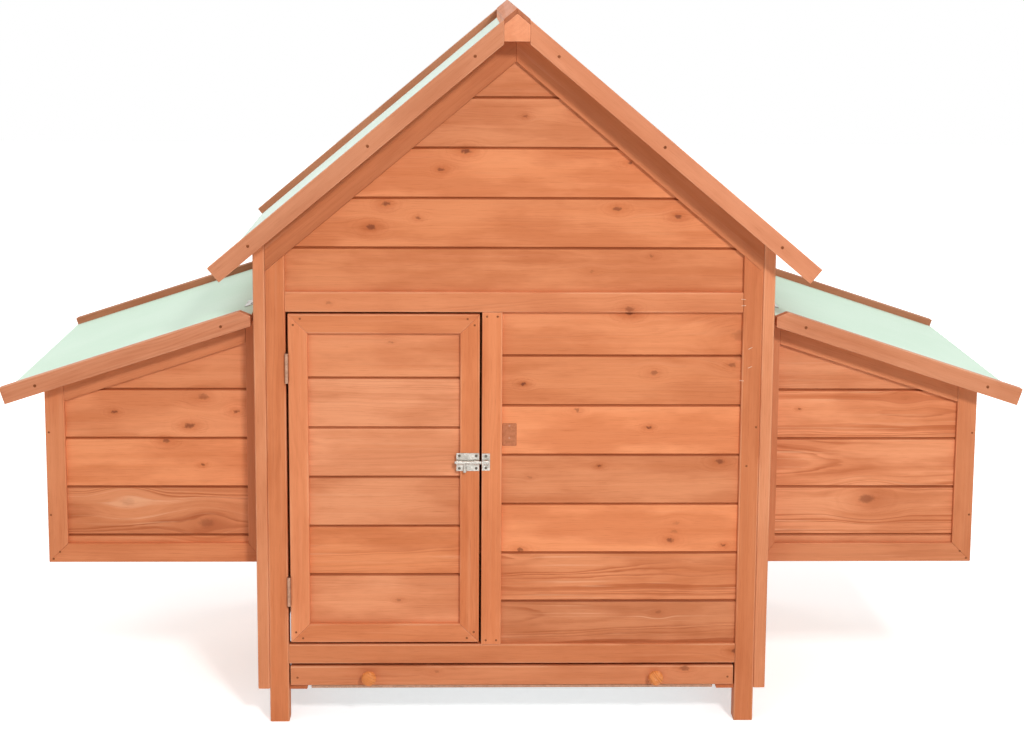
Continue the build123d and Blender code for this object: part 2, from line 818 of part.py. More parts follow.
def coop_nodes():
    """Every node of the coop by name."""
    stiles, rails = door_frame()
    post_leaves, door_leaves = door_hinges()
    wall_leaves, lid_leaves = lid_hinges()
    gable = gable_boards()
    rafters = gable_rafters()
    nodes = corner_posts()
    nodes.update({
        "front_rails": front_rails(),
        "front_mullion": front_mullion(),
        "front_wall_boards": front_boards(),
        "front_gable_boards": gable,
        "front_gable_rafters": rafters,
        "back_frame": back_frame(),
        "back_wall_boards": back_boards(),
        "back_gable_boards": mirrored(gable, Plane.XZ),
        "back_gable_rafters": mirrored(rafters, Plane.XZ),
        "perch": perch(),
        "perch_cleats": perch_cleats(),
        "tray_runners": tray_runners(),
        "ridge_beam": ridge_beam(),
        "ridge_caps": ridge_caps(),
        "door_stiles": stiles,
        "door_rails": rails,
        "door_boards": door_boards(),
        "door_hinge_post_leaves": post_leaves,
        "door_hinge_door_leaves": door_leaves,
        "latch_plate": latch_plate(),
        "latch_bolt": latch_bolt(),
        "latch_keeper": latch_keeper(),
        "tray_front": tray_front(),
        "tray_rails": tray_rails(),
        "tray_pan": tray_pan(),
        "tray_knobs": tray_knobs(),
    })
    paired = {
        "wall_frame": side_frame(),
        "wall_boards": side_boards(),
        "roof_panel": roof_panel(),
        "roof_sheet": roof_sheet(),
        "roof_barges": roof_barges(),
        "nest_frame": nest_frame(),
        "nest_boards": nest_boards(),
        "nest_floor": nest_floor(),
        "lid_panel": lid_panel(),
        "lid_sheet": lid_sheet(),
        "lid_barges": lid_barges(),
        "lid_hinge_wall_leaves": wall_leaves,
        "lid_hinge_lid_leaves": lid_leaves,
    }
    for name, pieces in paired.items():
        nodes["right_" + name] = pieces
        nodes["left_" + name] = mirrored(pieces, Plane.YZ)
    return nodes


for node, pieces in coop_nodes().items():
    solids = [solid for piece in pieces for solid in piece.solids()]
    export_step(Compound(solids), f"parts/{node}.step")
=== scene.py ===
"""Dresses the wooden chicken coop: stained fir, mint sheeting, zinc fittings, screws and brads.

Lengths are in metres, in the frame of the coop: X to the right, Y to the back, Z up from the ground.
"""

import json
import random
from functools import wraps
from math import cos, pi, radians, sin

import bmesh
import bpy
from bpy.props import FloatProperty, FloatVectorProperty, PointerProperty
from mathutils import Matrix, Vector

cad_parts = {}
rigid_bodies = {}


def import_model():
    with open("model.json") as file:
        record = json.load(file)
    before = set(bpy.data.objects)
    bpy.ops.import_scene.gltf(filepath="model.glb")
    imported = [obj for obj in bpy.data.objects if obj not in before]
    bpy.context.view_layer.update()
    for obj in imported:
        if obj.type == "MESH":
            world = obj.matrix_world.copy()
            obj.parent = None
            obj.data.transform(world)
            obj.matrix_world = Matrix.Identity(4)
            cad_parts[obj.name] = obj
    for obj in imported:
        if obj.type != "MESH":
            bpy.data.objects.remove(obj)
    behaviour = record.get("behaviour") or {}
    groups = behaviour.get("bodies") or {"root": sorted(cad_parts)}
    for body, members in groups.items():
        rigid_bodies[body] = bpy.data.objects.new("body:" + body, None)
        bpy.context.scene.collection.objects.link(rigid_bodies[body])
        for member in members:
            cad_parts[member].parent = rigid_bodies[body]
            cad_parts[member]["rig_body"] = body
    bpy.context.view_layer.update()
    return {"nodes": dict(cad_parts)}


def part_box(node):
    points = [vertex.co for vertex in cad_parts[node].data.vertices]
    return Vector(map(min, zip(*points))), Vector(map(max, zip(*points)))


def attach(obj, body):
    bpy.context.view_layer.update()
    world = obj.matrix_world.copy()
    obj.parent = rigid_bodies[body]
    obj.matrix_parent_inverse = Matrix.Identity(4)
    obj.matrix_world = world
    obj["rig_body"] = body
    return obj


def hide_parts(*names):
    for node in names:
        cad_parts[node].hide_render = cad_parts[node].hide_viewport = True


bl_info = {
    "name": "Chicken coop looks",
    "version": (1, 0, 0),
    "blender": (4, 5, 0),
    "location": "3D View > Sidebar > Coop",
    "description": "Stained fir, mint sheeting, zinc fittings and a white stage for the chicken coop",
    "category": "Object",
}

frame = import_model()

X_AXIS = Vector((1, 0, 0))
Y_AXIS = Vector((0, 1, 0))
Z_AXIS = Vector((0, 0, 1))
FRONT = -Y_AXIS
WHITE = (1.0, 1.0, 1.0)

# Faces that meet at less than FLAT are one face. Edges that turn by more than SHARP are corners.
FLAT = radians(0.5)
SHARP = radians(25)

# Edges shorter than this are left over from bevels and are closed up.
SLIVER = 0.000003

# Width of a knot across the grain over its length along it, and cells to the metre where knots are strewn.
KNOT_RUN = 0.55
KNOT_CELLS_ALONG = 2.2
KNOT_CELLS_ACROSS = 9.0

# Metres to a pixel of the front view, on the front wall and on the nest boxes.
WALL_PIXEL = 0.001434
NEST_PIXEL = 0.001452

# Pixel at the middle of the wall's foot.
WALL_FOOT = (512.5, 729)

# What chance may give a timber: its tone, the strength of its figure, and where the pith of its log lies.
TONE_RANGE = (0.94, 1.05)
FIGURE_RANGE = (0.6, 1.4)
PITH_RANGES = ((0, 9), (-0.05, 0.05), (0.025, 0.075))

# Part of a face's normal along the grain where end grain starts, and from there to where it is full.
END_GRAIN_START = 0.55
END_GRAIN_SPAN = 0.3

# Part of a face's normal across the grain on the sides of a board's seams.
SEAM_TURN = 0.4

# Tints that the figure, pores, end grain and knots lay over the stain.
STREAK_TINT = (0.86, 0.72, 0.6)
BLOTCH_TINT = (0.8, 0.68, 0.58)
FIBRE_TINT = (0.84, 0.74, 0.66)
PORE_TINT = (0.78, 0.64, 0.52)
END_GRAIN_TINT = (0.62, 0.5, 0.42)
HALO_TINT = (0.74, 0.54, 0.38)


# Settings

def colour_setting(name, description, default):
    """Setting that holds a colour."""
    return FloatVectorProperty(name=name, description=description, default=default, subtype="COLOR")


def length_setting(name, description, default):
    """Setting that holds a length in metres."""
    return FloatProperty(name=name, description=description, default=default, unit="LENGTH")


def power_setting(name, description, default):
    """Setting that holds the power of a lamp in watts."""
    return FloatProperty(name=name, description=description, default=default, unit="POWER")


class FirFinish(bpy.types.PropertyGroup):
    """Stain, grain and edges of the timber."""

    board_colour: colour_setting("Boards", "Stain on the tongue-and-groove boards", (0.77, 0.266, 0.103))
    frame_colour: colour_setting("Frames", "Stain on posts, rails and stiles", (0.755, 0.247, 0.093))
    faded_colour: colour_setting("Faded", "Stain where it has taken paler", (0.80, 0.335, 0.168))
    pale_colour: colour_setting("Pale streaks", "Early wood where the stain hasn't taken", (0.92, 0.52, 0.31))
    trim_colour: colour_setting("Trim", "Stain on the barge boards and ridge", (0.75, 0.29, 0.145))
    knob_colour: colour_setting("Knobs", "Stain on the turned knobs of the tray", (0.80, 0.287, 0.081))
    late_tint: colour_setting("Late wood", "Tint of the dark rings over the stain", (0.70, 0.52, 0.38))
    seam_tint: colour_setting("Seams", "Tint of the stain that has pooled in the seams", (0.60, 0.46, 0.36))
    knot_colour: colour_setting("Knots", "Colour at the heart of a knot", (0.16, 0.032, 0.008))
    ring_spacing: length_setting("Ring spacing", "Distance between growth rings", 0.0052)
    relief: length_setting("Relief", "Height of the raised grain", 0.0007)
    timber_ease: length_setting("Timber edges", "Width of the eased edges of frames", 0.0009)
    board_ease: length_setting("Board edges", "Width of the eased edges of boards", 0.0005)


class SheetFinish(bpy.types.PropertyGroup):
    """Mint sheeting of roof and lids, and the plywood under it."""

    mint_colour: colour_setting("Lid sheets", "Colour of the sheets on the lids", (0.70, 0.88, 0.72))
    # The roof's sheets are the lids' sheet made paler: a painted sheen of the white surroundings seen at a
    # grazing angle.
    roof_sheen_colour: colour_setting("Roof sheets", "Colour of the sheets on the roof", (0.8, 0.915, 0.81))
    plywood_colour: colour_setting("Plywood", "Colour of the panels under the sheets", (0.62, 0.36, 0.19))
    grit: length_setting("Grit", "Size of the mineral grit on the sheets", 0.0011)
    sheet_ease: length_setting("Sheet edges", "Width of the softened edges of the sheets", 0.0004)


class FittingFinish(bpy.types.PropertyGroup):
    """Zinc fittings, the tray's pan, screws, brads and staples."""

    zinc_colour: colour_setting("Zinc", "Colour of the latch and the lids' hinges", (0.56, 0.53, 0.48))
    hinge_colour: colour_setting("Tarnish", "Colour of the door's hinges and the pan's hem",
                                 (0.45, 0.26, 0.175))
    pan_colour: colour_setting("Pan", "Colour of the tray's galvanised sheet", (0.6, 0.63, 0.64))
    brad_colour: colour_setting("Brads", "Colour of the sunk brads and barge screws", (0.3, 0.095, 0.036))
    screw_colour: colour_setting("Fitting screws", "Colour of the screws in hinges and latch",
                                 (0.2, 0.175, 0.145))
    staple_colour: colour_setting("Staples", "Colour of the staples on the right post", (0.82, 0.56, 0.4))
    plate_colour: colour_setting("Blank plate", "Colour of the plain plate beside the door",
                                 (0.555, 0.2, 0.094))
    rivet_colour: colour_setting("Rivets", "Colour of the plain plate's rivets", (0.62, 0.3, 0.19))
    screw_radius: length_setting("Barge screws", "Radius of the screws in the barge boards", 0.0022)
    latch_screw_radius: length_setting("Latch screws", "Radius of the screws in the latch", 0.0021)
    hinge_screw_radius: length_setting("Hinge screws", "Radius of the screws in the lids' hinges", 0.0023)
    brad_radius: length_setting("Brad heads", "Radius of the brad heads", 0.0016)
    rivet_radius: length_setting("Rivet heads", "Radius of the plain plate's rivets", 0.0015)
    staple_wire: length_setting("Staple wire", "Radius of a staple's wire", 0.0005)
    staple_length: length_setting("Staple length", "Length of a staple's back", 0.0062)


class StageFinish(bpy.types.PropertyGroup):
    """Floor, lamps and camera."""

    floor_colour: colour_setting("Floor", "Colour of the floor", (0.9, 0.9, 0.9))
    floor_glow: FloatProperty(
        name="Floor glow", description="White added to the floor near the coop where the camera sees it",
        default=0.5)
    daylight: FloatProperty(
        name="Daylight", description="Strength of the even light from all round", default=0.2)
    key_power: power_setting("Key lamp", "Power of the lamp at the upper right", 75.0)
    top_power: power_setting("Top lamp", "Power of the lamp overhead", 40.0)
    fill_power: power_setting("Fill lamp", "Power of the lamp at the left", 9.0)
    rear_power: power_setting("Rear lamps", "Power of each lamp behind the coop", 48.0)
    lens: FloatProperty(
        name="Lens", description="Focal length of the camera", default=68.2, unit="CAMERA")
    camera_place: FloatVectorProperty(
        name="Camera", description="Where the camera stands", subtype="TRANSLATION",
        default=(-0.069, -2.994, 1.09))
    camera_turn: FloatVectorProperty(
        name="Camera turn", description="Pitch, yaw and roll of the camera", subtype="EULER",
        default=(radians(-8.69), radians(-1.374), radians(0.357)))
    camera_rise: FloatProperty(
        name="Camera shift", description="Lens shift upwards", default=-0.10)


def settings(name):
    """One of the panel's groups of settings."""
    return getattr(bpy.context.scene, "coop_" + name)


# Node trees

def join(tree, value, socket):
    """Link a socket, or set a plain value."""
    if isinstance(value, bpy.types.NodeSocket):
        tree.links.new(value, socket)
    else:
        socket.default_value = value


def add_node(tree, kind, inputs=(), **options):
    """Add a shader node with its options and inputs."""
    made = tree.nodes.new("ShaderNode" + kind)
    for name, value in options.items():
        setattr(made, name, value)
    for key, value in dict(inputs).items():
        join(tree, value, made.inputs[key])
    return made


def maths(tree, operation, *values):
    """Arithmetic on numbers."""
    return add_node(tree, "Math", enumerate(values), operation=operation).outputs[0]


def share(tree, mask, amount):
    """Part of a mask."""
    return maths(tree, "MULTIPLY", mask, amount)


def vectors(tree, operation, *values):
    """Arithmetic on vectors."""
    made = add_node(tree, "VectorMath", enumerate(values), operation=operation)
    return made.outputs["Value" if operation == "LENGTH" else "Vector"]


def split(tree, vector):
    """The three parts of a vector."""
    return add_node(tree, "SeparateXYZ", {0: vector}).outputs


def step(tree, value, low, high, first=0.0, last=1.0):
    """Smooth step from first to last."""
    made = add_node(tree, "MapRange", {"Value": value, "From Min": low, "From Max": high,
                                       "To Min": first, "To Max": last}, interpolation_type="SMOOTHSTEP")
    return made.outputs["Result"]


def opaque(colour):
    """Plain colour with its alpha, or the socket that gives one."""
    return colour if isinstance(colour, bpy.types.NodeSocket) else (*colour, 1.0)


def tint(tree, amount, colour, over, mode="MULTIPLY"):
    """Lay a colour over another."""
    made = add_node(tree, "Mix", {0: amount, 6: opaque(colour), 7: opaque(over)}, data_type="RGBA",
                    blend_type=mode)
    return made.outputs[2]


def speckle(tree, place, scale, detail):
    """Noise that is the same size along each axis."""
    return add_node(tree, "TexNoise", {"Vector": place, "Scale": scale, "Detail": detail}).outputs


def noise(tree, place, stretch, detail=2.0):
    """Noise with its own frequency along each axis."""
    return speckle(tree, vectors(tree, "MULTIPLY", place, stretch), 1.0, detail)["Fac"]


def object_place(tree):
    """Place on the coop."""
    return add_node(tree, "TexCoord").outputs["Object"]


def attribute(tree, name):
    """A named attribute of the piece."""
    return add_node(tree, "Attribute", attribute_name=name).outputs["Vector"]


def finish_shader(tree, shader, inputs):
    """Give the shader's own sockets their links and plain values."""
    for key, value in inputs.items():
        join(tree, value, shader.inputs[key])


def raised(tree, height, strength, distance):
    """Normal of a surface with fine relief."""
    made = add_node(tree, "Bump", {"Height": height, "Strength": strength, "Distance": distance})
    return made.outputs["Normal"]


def new_group(name, inputs, outputs):
    """Empty shader group with named sockets, given as (name, socket type)."""
    tree = bpy.data.node_groups.new(name, "ShaderNodeTree")
    for label, kind in inputs:
        tree.interface.new_socket(name=label, in_out="INPUT", socket_type="NodeSocket" + kind)
    for label, kind in outputs:
        tree.interface.new_socket(name=label, in_out="OUTPUT", socket_type="NodeSocket" + kind)
    return tree, tree.nodes.new("NodeGroupInput").outputs, tree.nodes.new("NodeGroupOutput").inputs


def use_group(tree, group, inputs):
    """Place a group in a material."""
    return add_node(tree, "Group", inputs, node_tree=group).outputs


def figure_group():
    """Growth rings of a log sawn at each timber's own place, with fibres and soft blotches."""
    found = bpy.data.node_groups.get("fir_figure")
    if found:
        return found
    tree, given, result = new_group(
        "fir_figure", [("Grain", "Vector"), ("Spacing", "Float")],
        [("Late", "Float"), ("Streak", "Float"), ("Pale", "Float"), ("Fibre", "Float"), ("Pore", "Float"),
         ("Blotch", "Float")])
    grain = given["Grain"]
    parts = split(tree, grain)
    across = maths(tree, "POWER", parts["Y"], 2.0)
    deep = maths(tree, "POWER", parts["Z"], 2.0)
    radius = maths(tree, "SQRT", maths(tree, "ADD", across, deep))
    sway = maths(tree, "SUBTRACT", noise(tree, grain, (2.6, 13.0, 13.0)), 0.5)
    ripple = maths(tree, "SUBTRACT", noise(tree, grain, (11.0, 70.0, 70.0), 3.0), 0.5)
    for shift, amount in ((parts["X"], 0.013), (sway, 0.02), (ripple, 0.004)):
        radius = maths(tree, "MULTIPLY_ADD", shift, amount, radius)
    seasons = add_node(tree, "TexNoise", {"W": radius, "Scale": 70.0, "Detail": 2.0}, noise_dimensions="1D")
    radius = maths(tree, "MULTIPLY_ADD", seasons.outputs["Fac"], 0.03, radius)
    phase = maths(tree, "FRACT", maths(tree, "DIVIDE", radius, given["Spacing"]))
    ring = maths(tree, "MULTIPLY", step(tree, phase, 0.15, 0.8), step(tree, phase, 0.8, 1.0, 1.0, 0.0))
    patchy = step(tree, noise(tree, grain, (3.0, 26.0, 26.0), 3.0), 0.34, 0.66, 0.12, 1.0)
    streaks = noise(tree, grain, (2.2, 95.0, 95.0), 4.0)
    scratches = noise(tree, grain, (5.0, 210.0, 210.0), 2.0)
    pores = noise(tree, grain, (38.0, 1500.0, 1500.0), 3.0)
    patches = noise(tree, grain, (6.5, 21.0, 21.0), 4.0)
    made = {"Late": maths(tree, "MULTIPLY", ring, patchy),
            "Streak": step(tree, streaks, 0.38, 0.66),
            "Pale": maths(tree, "MULTIPLY", step(tree, scratches, 0.56, 0.74), patchy),
            "Fibre": noise(tree, grain, (9.0, 620.0, 620.0), 4.0),
            "Pore": step(tree, pores, 0.54, 0.72),
            "Blotch": step(tree, patches, 0.4, 0.63)}
    for name, value in made.items():
        tree.links.new(value, result[name])
    return tree


def knot_group():
    """One knot: its heart, the halo round it, and how far it pushes the grain aside."""
    found = bpy.data.node_groups.get("fir_knot")
    if found:
        return found
    tree, given, result = new_group(
        "fir_knot", [("Offset", "Vector"), ("Shake", "Vector"), ("Radius", "Float"), ("Depth", "Float"),
                     ("Heart", "Float"), ("Halo", "Float"), ("Bend", "Float")],
        [("Heart", "Float"), ("Halo", "Float"), ("Bend", "Float")])
    shaken = vectors(tree, "LENGTH", vectors(tree, "ADD", given["Offset"], given["Shake"]))
    rough = maths(tree, "DIVIDE", shaken, given["Radius"])
    smooth = maths(tree, "DIVIDE", vectors(tree, "LENGTH", given["Offset"]), given["Radius"])
    heart = maths(tree, "MULTIPLY", step(tree, rough, 0.3, 0.8, 1.0, 0.0), given["Depth"])
    rings = step(tree, maths(tree, "SINE", share(tree, rough, 6.0)), 0.1, 1.0, 0.0, 0.45)
    rings = maths(tree, "MULTIPLY", rings, step(tree, smooth, 1.0, 4.2, 1.0, 0.0))
    halo = maths(tree, "MAXIMUM", step(tree, rough, 0.4, 2.6, 1.0, 0.0), rings)
    halo = maths(tree, "MULTIPLY", halo, given["Depth"])
    aside = split(tree, given["Offset"])["Y"]
    bend = maths(tree, "MULTIPLY", aside, step(tree, smooth, 0.4, 4.5, -0.88, 0.0))
    tree.links.new(maths(tree, "MAXIMUM", heart, given["Heart"]), result["Heart"])
    tree.links.new(maths(tree, "MAXIMUM", halo, given["Halo"]), result["Halo"])
    tree.links.new(maths(tree, "ADD", bend, given["Bend"]), result["Bend"])
    return tree


def shaken_by(tree, place, reach):
    """Small shift from place to place, so that knots aren't round."""
    jitter = speckle(tree, place, 210.0, 2.0)["Color"]
    return vectors(tree, "MULTIPLY", vectors(tree, "SUBTRACT", jitter, (0.5, 0.5, 0.5)), reach)


def placed_knots(tree, knots):
    """Knots at chosen places on boards that lie along X and face the front."""
    place = object_place(tree)
    parts = split(tree, place)
    along = share(tree, parts["X"], KNOT_RUN)
    across = share(tree, parts["Z"], -1.0)
    spot = add_node(tree, "CombineXYZ", {"X": along, "Y": across}).outputs["Vector"]
    shake = shaken_by(tree, place, (0.006, 0.006, 0.0))
    made = {"Heart": 0.0, "Halo": 0.0, "Bend": 0.0}
    for x, z, radius, depth in knots:
        offset = vectors(tree, "SUBTRACT", spot, (x * KNOT_RUN, -z, 0.0))
        given = {name: made[name] for name in ("Heart", "Halo", "Bend")}
        made = use_group(tree, knot_group(), {"Offset": offset, "Shake": shake, "Radius": radius,
                                              "Depth": depth, **given})
    return made


def wild_knots(tree, grain):
    """Knots strewn along the grain, none in most cells."""
    cells = vectors(tree, "MULTIPLY", grain, (KNOT_CELLS_ALONG, KNOT_CELLS_ACROSS, 0.0))
    found = add_node(tree, "TexVoronoi", {"Vector": cells, "Scale": 1.0}, voronoi_dimensions="2D").outputs
    offset = vectors(tree, "SUBTRACT", cells, found["Position"])
    offset = vectors(tree, "MULTIPLY", offset, (KNOT_RUN / KNOT_CELLS_ALONG, 1 / KNOT_CELLS_ACROSS, 0.0))
    luck = split(tree, found["Color"])
    return use_group(tree, knot_group(), {"Offset": offset,
                                          "Shake": shaken_by(tree, grain, (0.004, 0.006, 0.0)),
                                          "Radius": step(tree, luck["X"], 0.62, 1.0, 0.0002, 0.0052),
                                          "Depth": step(tree, luck["Y"], 0.0, 1.0, 0.35, 1.0)})


# Materials

def new_material(name):
    """Material with its node tree and its shader."""
    material = bpy.data.materials.new(name)
    material.use_nodes = True
    return material, material.node_tree, material.node_tree.nodes["Principled BSDF"]


def once(make):
    """Let a material of one name be made only once."""
    @wraps(make)
    def found_or_made(name, *details, **more):
        return bpy.data.materials.get(name) or make(name, *details, **more)
    return found_or_made


@once
def fir_material(name, colour, knots=None, patchy=0.5):
    """Stained fir. Knots at chosen places, or strewn where none are given."""
    fir = settings("fir")
    material, tree, shader = new_material(name)
    grain = attribute(tree, "grain")
    trait = split(tree, attribute(tree, "trait"))
    worn = split(tree, attribute(tree, "marks"))
    knot = wild_knots(tree, grain) if knots is None else placed_knots(tree, knots)
    aside = add_node(tree, "CombineXYZ", {"Y": knot["Bend"]}).outputs["Vector"]
    bent = vectors(tree, "ADD", grain, aside)
    figure = use_group(tree, figure_group(), {"Grain": bent, "Spacing": fir.ring_spacing})
    late = maths(tree, "MULTIPLY", figure["Late"], trait["Y"])
    pale = maths(tree, "MULTIPLY", figure["Pale"], trait["Y"])
    rubbed = maths(tree, "MULTIPLY", worn["Z"], step(tree, figure["Blotch"], 0.0, 1.0, 0.55, 0.1))
    stain = tint(tree, trait["Z"], colour, fir.faded_colour, "MIX")
    stain = add_node(tree, "VectorMath", {0: stain, "Scale": trait["X"]}, operation="SCALE").outputs["Vector"]
    stain = tint(tree, late, stain, fir.late_tint)
    stain = tint(tree, share(tree, figure["Streak"], 0.28), stain, STREAK_TINT)
    stain = tint(tree, share(tree, pale, 0.6), stain, fir.pale_colour, "MIX")
    stain = tint(tree, share(tree, figure["Blotch"], patchy), stain, BLOTCH_TINT)
    stain = tint(tree, step(tree, figure["Fibre"], 0.42, 0.75, 0.0, 0.16), stain, FIBRE_TINT)
    stain = tint(tree, share(tree, figure["Pore"], 0.5), stain, PORE_TINT)
    stain = tint(tree, share(tree, worn["X"], 0.55), stain, END_GRAIN_TINT)
    stain = tint(tree, worn["Y"], stain, fir.seam_tint)
    stain = tint(tree, rubbed, stain, fir.pale_colour, "MIX")
    stain = tint(tree, share(tree, knot["Halo"], 0.75), stain, HALO_TINT)
    stain = tint(tree, share(tree, knot["Heart"], 0.9), stain, fir.knot_colour, "MIX")
    height = maths(tree, "MULTIPLY_ADD", figure["Fibre"], 0.3, late)
    height = maths(tree, "MULTIPLY_ADD", figure["Pore"], -0.15, height)
    finish_shader(tree, shader, {"Base Color": stain,
                                 "Roughness": step(tree, figure["Streak"], 0.0, 1.0, 0.55, 0.68),
                                 "Normal": raised(tree, height, 0.35, fir.relief),
                                 "Specular IOR Level": 0.3})
    return material


@once
def mint_material(name, colour):
    """Mineral-faced sheet: fine grit and faint rolling marks."""
    material, tree, shader = new_material(name)
    place = object_place(tree)
    grit = speckle(tree, place, 1 / settings("sheet").grit, 2.0)["Fac"]
    drift = speckle(tree, place, 7.0, 3.0)["Fac"]
    shade = tint(tree, step(tree, grit, 0.35, 0.7, 0.0, 0.35), colour, (0.8, 0.88, 0.84))
    shade = tint(tree, step(tree, drift, 0.35, 0.7, 0.0, 0.3), shade, (0.92, 0.95, 0.93))
    finish_shader(tree, shader, {"Base Color": shade, "Roughness": step(tree, drift, 0.3, 0.7, 0.5, 0.62),
                                 "Normal": raised(tree, grit, 0.25, 0.0003)})
    return material


@once
def plywood_material(name, colour):
    """Thin stained plywood with long veneer figure."""
    material, tree, shader = new_material(name)
    figure = use_group(tree, figure_group(), {"Grain": attribute(tree, "grain"), "Spacing": 0.011})
    shade = tint(tree, share(tree, figure["Late"], 0.45), colour, (0.78, 0.64, 0.5))
    shade = tint(tree, share(tree, figure["Blotch"], 0.3), shade, (0.86, 0.8, 0.72))
    shade = tint(tree, step(tree, figure["Fibre"], 0.4, 0.75, 0.0, 0.3), shade, (0.8, 0.72, 0.62))
    finish_shader(tree, shader, {"Base Color": shade, "Roughness": 0.7,
                                 "Normal": raised(tree, figure["Fibre"], 0.2, 0.0004)})
    return material


@once
def metal_material(name, colour, spangle, mottling, roughness):
    """Plated steel with a mottled finish: the size and strength of its spangles, least and most roughness."""
    material, tree, shader = new_material(name)
    place = object_place(tree)
    flakes = add_node(tree, "TexVoronoi", {"Vector": place, "Scale": 1 / spangle}).outputs["Color"]
    smear = speckle(tree, place, 0.3 / spangle, 3.0)["Fac"]
    shade = tint(tree, share(tree, split(tree, flakes)["X"], mottling), colour, (0.5, 0.49, 0.47))
    shade = tint(tree, step(tree, smear, 0.4, 0.7, 0.0, 0.6 * mottling), shade, (0.7, 0.68, 0.64))
    finish_shader(tree, shader, {"Base Color": shade, "Roughness": step(tree, smear, 0.3, 0.7, *roughness),
                                 "Metallic": 1.0})
    return material


@once
def dull_material(name, colour, grime):
    """Dull painted or oxidised metal with darker grime in patches."""
    material, tree, shader = new_material(name)
    patch = speckle(tree, object_place(tree), 260.0, 3.0)["Fac"]
    shade = tint(tree, step(tree, patch, 0.35, 0.7, 0.0, grime), colour, (0.6, 0.5, 0.42))
    finish_shader(tree, shader, {"Base Color": shade, "Roughness": step(tree, patch, 0.3, 0.7, 0.5, 0.7),
                                 "Specular IOR Level": 0.12})
    return material


def zinc_material():
    """Bright zinc of the latch and the lids' hinges."""
    return metal_material("zinc", settings("fitting").zinc_colour, spangle=0.0026, mottling=0.6,
                          roughness=(0.2, 0.42))


def tarnished_material():
    """Tarnished steel of the door's hinges and the pan's hem."""
    return metal_material("tarnished", settings("fitting").hinge_colour, spangle=0.0026, mottling=0.5,
                          roughness=(0.3, 0.45))


def pan_material():
    """Galvanised sheet of the tray."""
    return metal_material("galvanised", settings("fitting").pan_colour, spangle=0.016, mottling=0.25,
                          roughness=(0.56, 0.6))


def brad_material():
    """Stained-over steel of the brads and barge screws."""
    return dull_material("fastener", settings("fitting").brad_colour, grime=0.5)


def screw_material():
    """Dull steel of the screws in hinges and latch."""
    return dull_material("screw", settings("fitting").screw_colour, grime=0.6)


# Meshes

def solids_of(node):
    """Triangles of each closed solid of a node, which lie in a row in its mesh."""
    mesh = frame["nodes"][node].data
    places = [corner.co.to_tuple(5) for corner in mesh.vertices]
    triangles, open_edges = [], set()
    for face in mesh.polygons:
        corners = [places[i] for i in face.vertices]
        triangles.append(corners)
        for edge in zip(corners, corners[1:] + corners[:1]):
            open_edges ^= {frozenset(edge)}
        if not open_edges:
            yield triangles
            triangles = []
    if triangles:
        raise RuntimeError(f"a solid of {node} isn't closed")


def in_order(items):
    """Each item once, in the order in which it first comes, so that every run is the same."""
    return list(dict.fromkeys(items))


def add_solid(bm, triangles):
    """Rebuild one solid with flat faces and shared corners. Returns its corners."""
    corners = {place: bm.verts.new(place) for triangle in triangles for place in triangle}
    faces = [bm.faces.new([corners[place] for place in triangle]) for triangle in triangles]
    edges = in_order(edge for face in faces for edge in face.edges)
    bmesh.ops.dissolve_limit(bm, angle_limit=FLAT, verts=list(corners.values()), edges=edges)
    return [corner for corner in corners.values() if corner.is_valid]


def sharp_edges(corners):
    """Edges of a solid that make a real corner."""
    edges = in_order(edge for corner in corners for edge in corner.link_edges)
    return [edge for edge in edges if edge.calc_face_angle(0) > SHARP]


def ease_edges(bm, corners, width):
    """Plane the edges off one solid. Returns its corners and the new faces along its edges."""
    made = bmesh.ops.bevel(bm, geom=sharp_edges(corners), offset=width, offset_type="OFFSET", segments=2,
                           profile=0.5, affect="EDGES", clamp_overlap=True, material=-1)
    return in_order(corner for corner in corners + made["verts"] if corner.is_valid), set(made["faces"])


def add_block(bm, middle, size):
    """Add a box about its middle."""
    bmesh.ops.create_cube(bm, size=1.0, matrix=Matrix.Translation(middle) @ Matrix.Diagonal((*size, 1.0)))


def round_off(bm, edges, width, segments):
    """Round edges of a block."""
    bmesh.ops.bevel(bm, geom=edges, offset=width, segments=segments, profile=0.5, affect="EDGES", material=-1)


def smooth_faces(bm):
    """Shade all faces smooth."""
    for face in bm.faces:
        face.smooth = True


def longest_side(corners):
    """Axis along which a board is longest."""
    places = [corner.co for corner in corners]
    spans = [max(p[i] for p in places) - min(p[i] for p in places) for i in range(3)]
    return (X_AXIS, Y_AXIS, Z_AXIS)[spans.index(max(spans))]


def longest_edge(corners):
    """Direction of the longest edge of a timber."""
    edge = max(sharp_edges(corners), key=lambda e: e.calc_length())
    return (edge.verts[1].co - edge.verts[0].co).normalized()


def height_of(triangles):
    """Height of the middle of a solid."""
    heights = [place[2] for triangle in triangles for place in triangle]
    return (min(heights) + max(heights)) / 2


def stained_mesh():
    """Empty mesh with the layers that the stain reads."""
    bm = bmesh.new()
    bm.verts.layers.float_vector.new("grain")
    bm.verts.layers.float_vector.new("trait")
    bm.faces.layers.float_vector.new("marks")
    return bm


def lay_grain(bm, corners, along, chance, trait):
    """Give one timber its own log, and its tone, figure and fade. Returns the direction across its grain."""
    grain = bm.verts.layers.float_vector["grain"]
    traits = bm.verts.layers.float_vector["trait"]
    deep = X_AXIS if abs(along.y) > 0.7 else Y_AXIS
    across = deep.cross(along)
    middle = sum((corner.co for corner in corners), Vector()) / len(corners)
    pith = Vector([chance.uniform(*reach) for reach in PITH_RANGES])
    for corner in corners:
        out = corner.co - middle
        corner[grain] = Vector((out.dot(along), out.dot(across), out.dot(deep))) + pith
        corner[traits] = trait
    return across


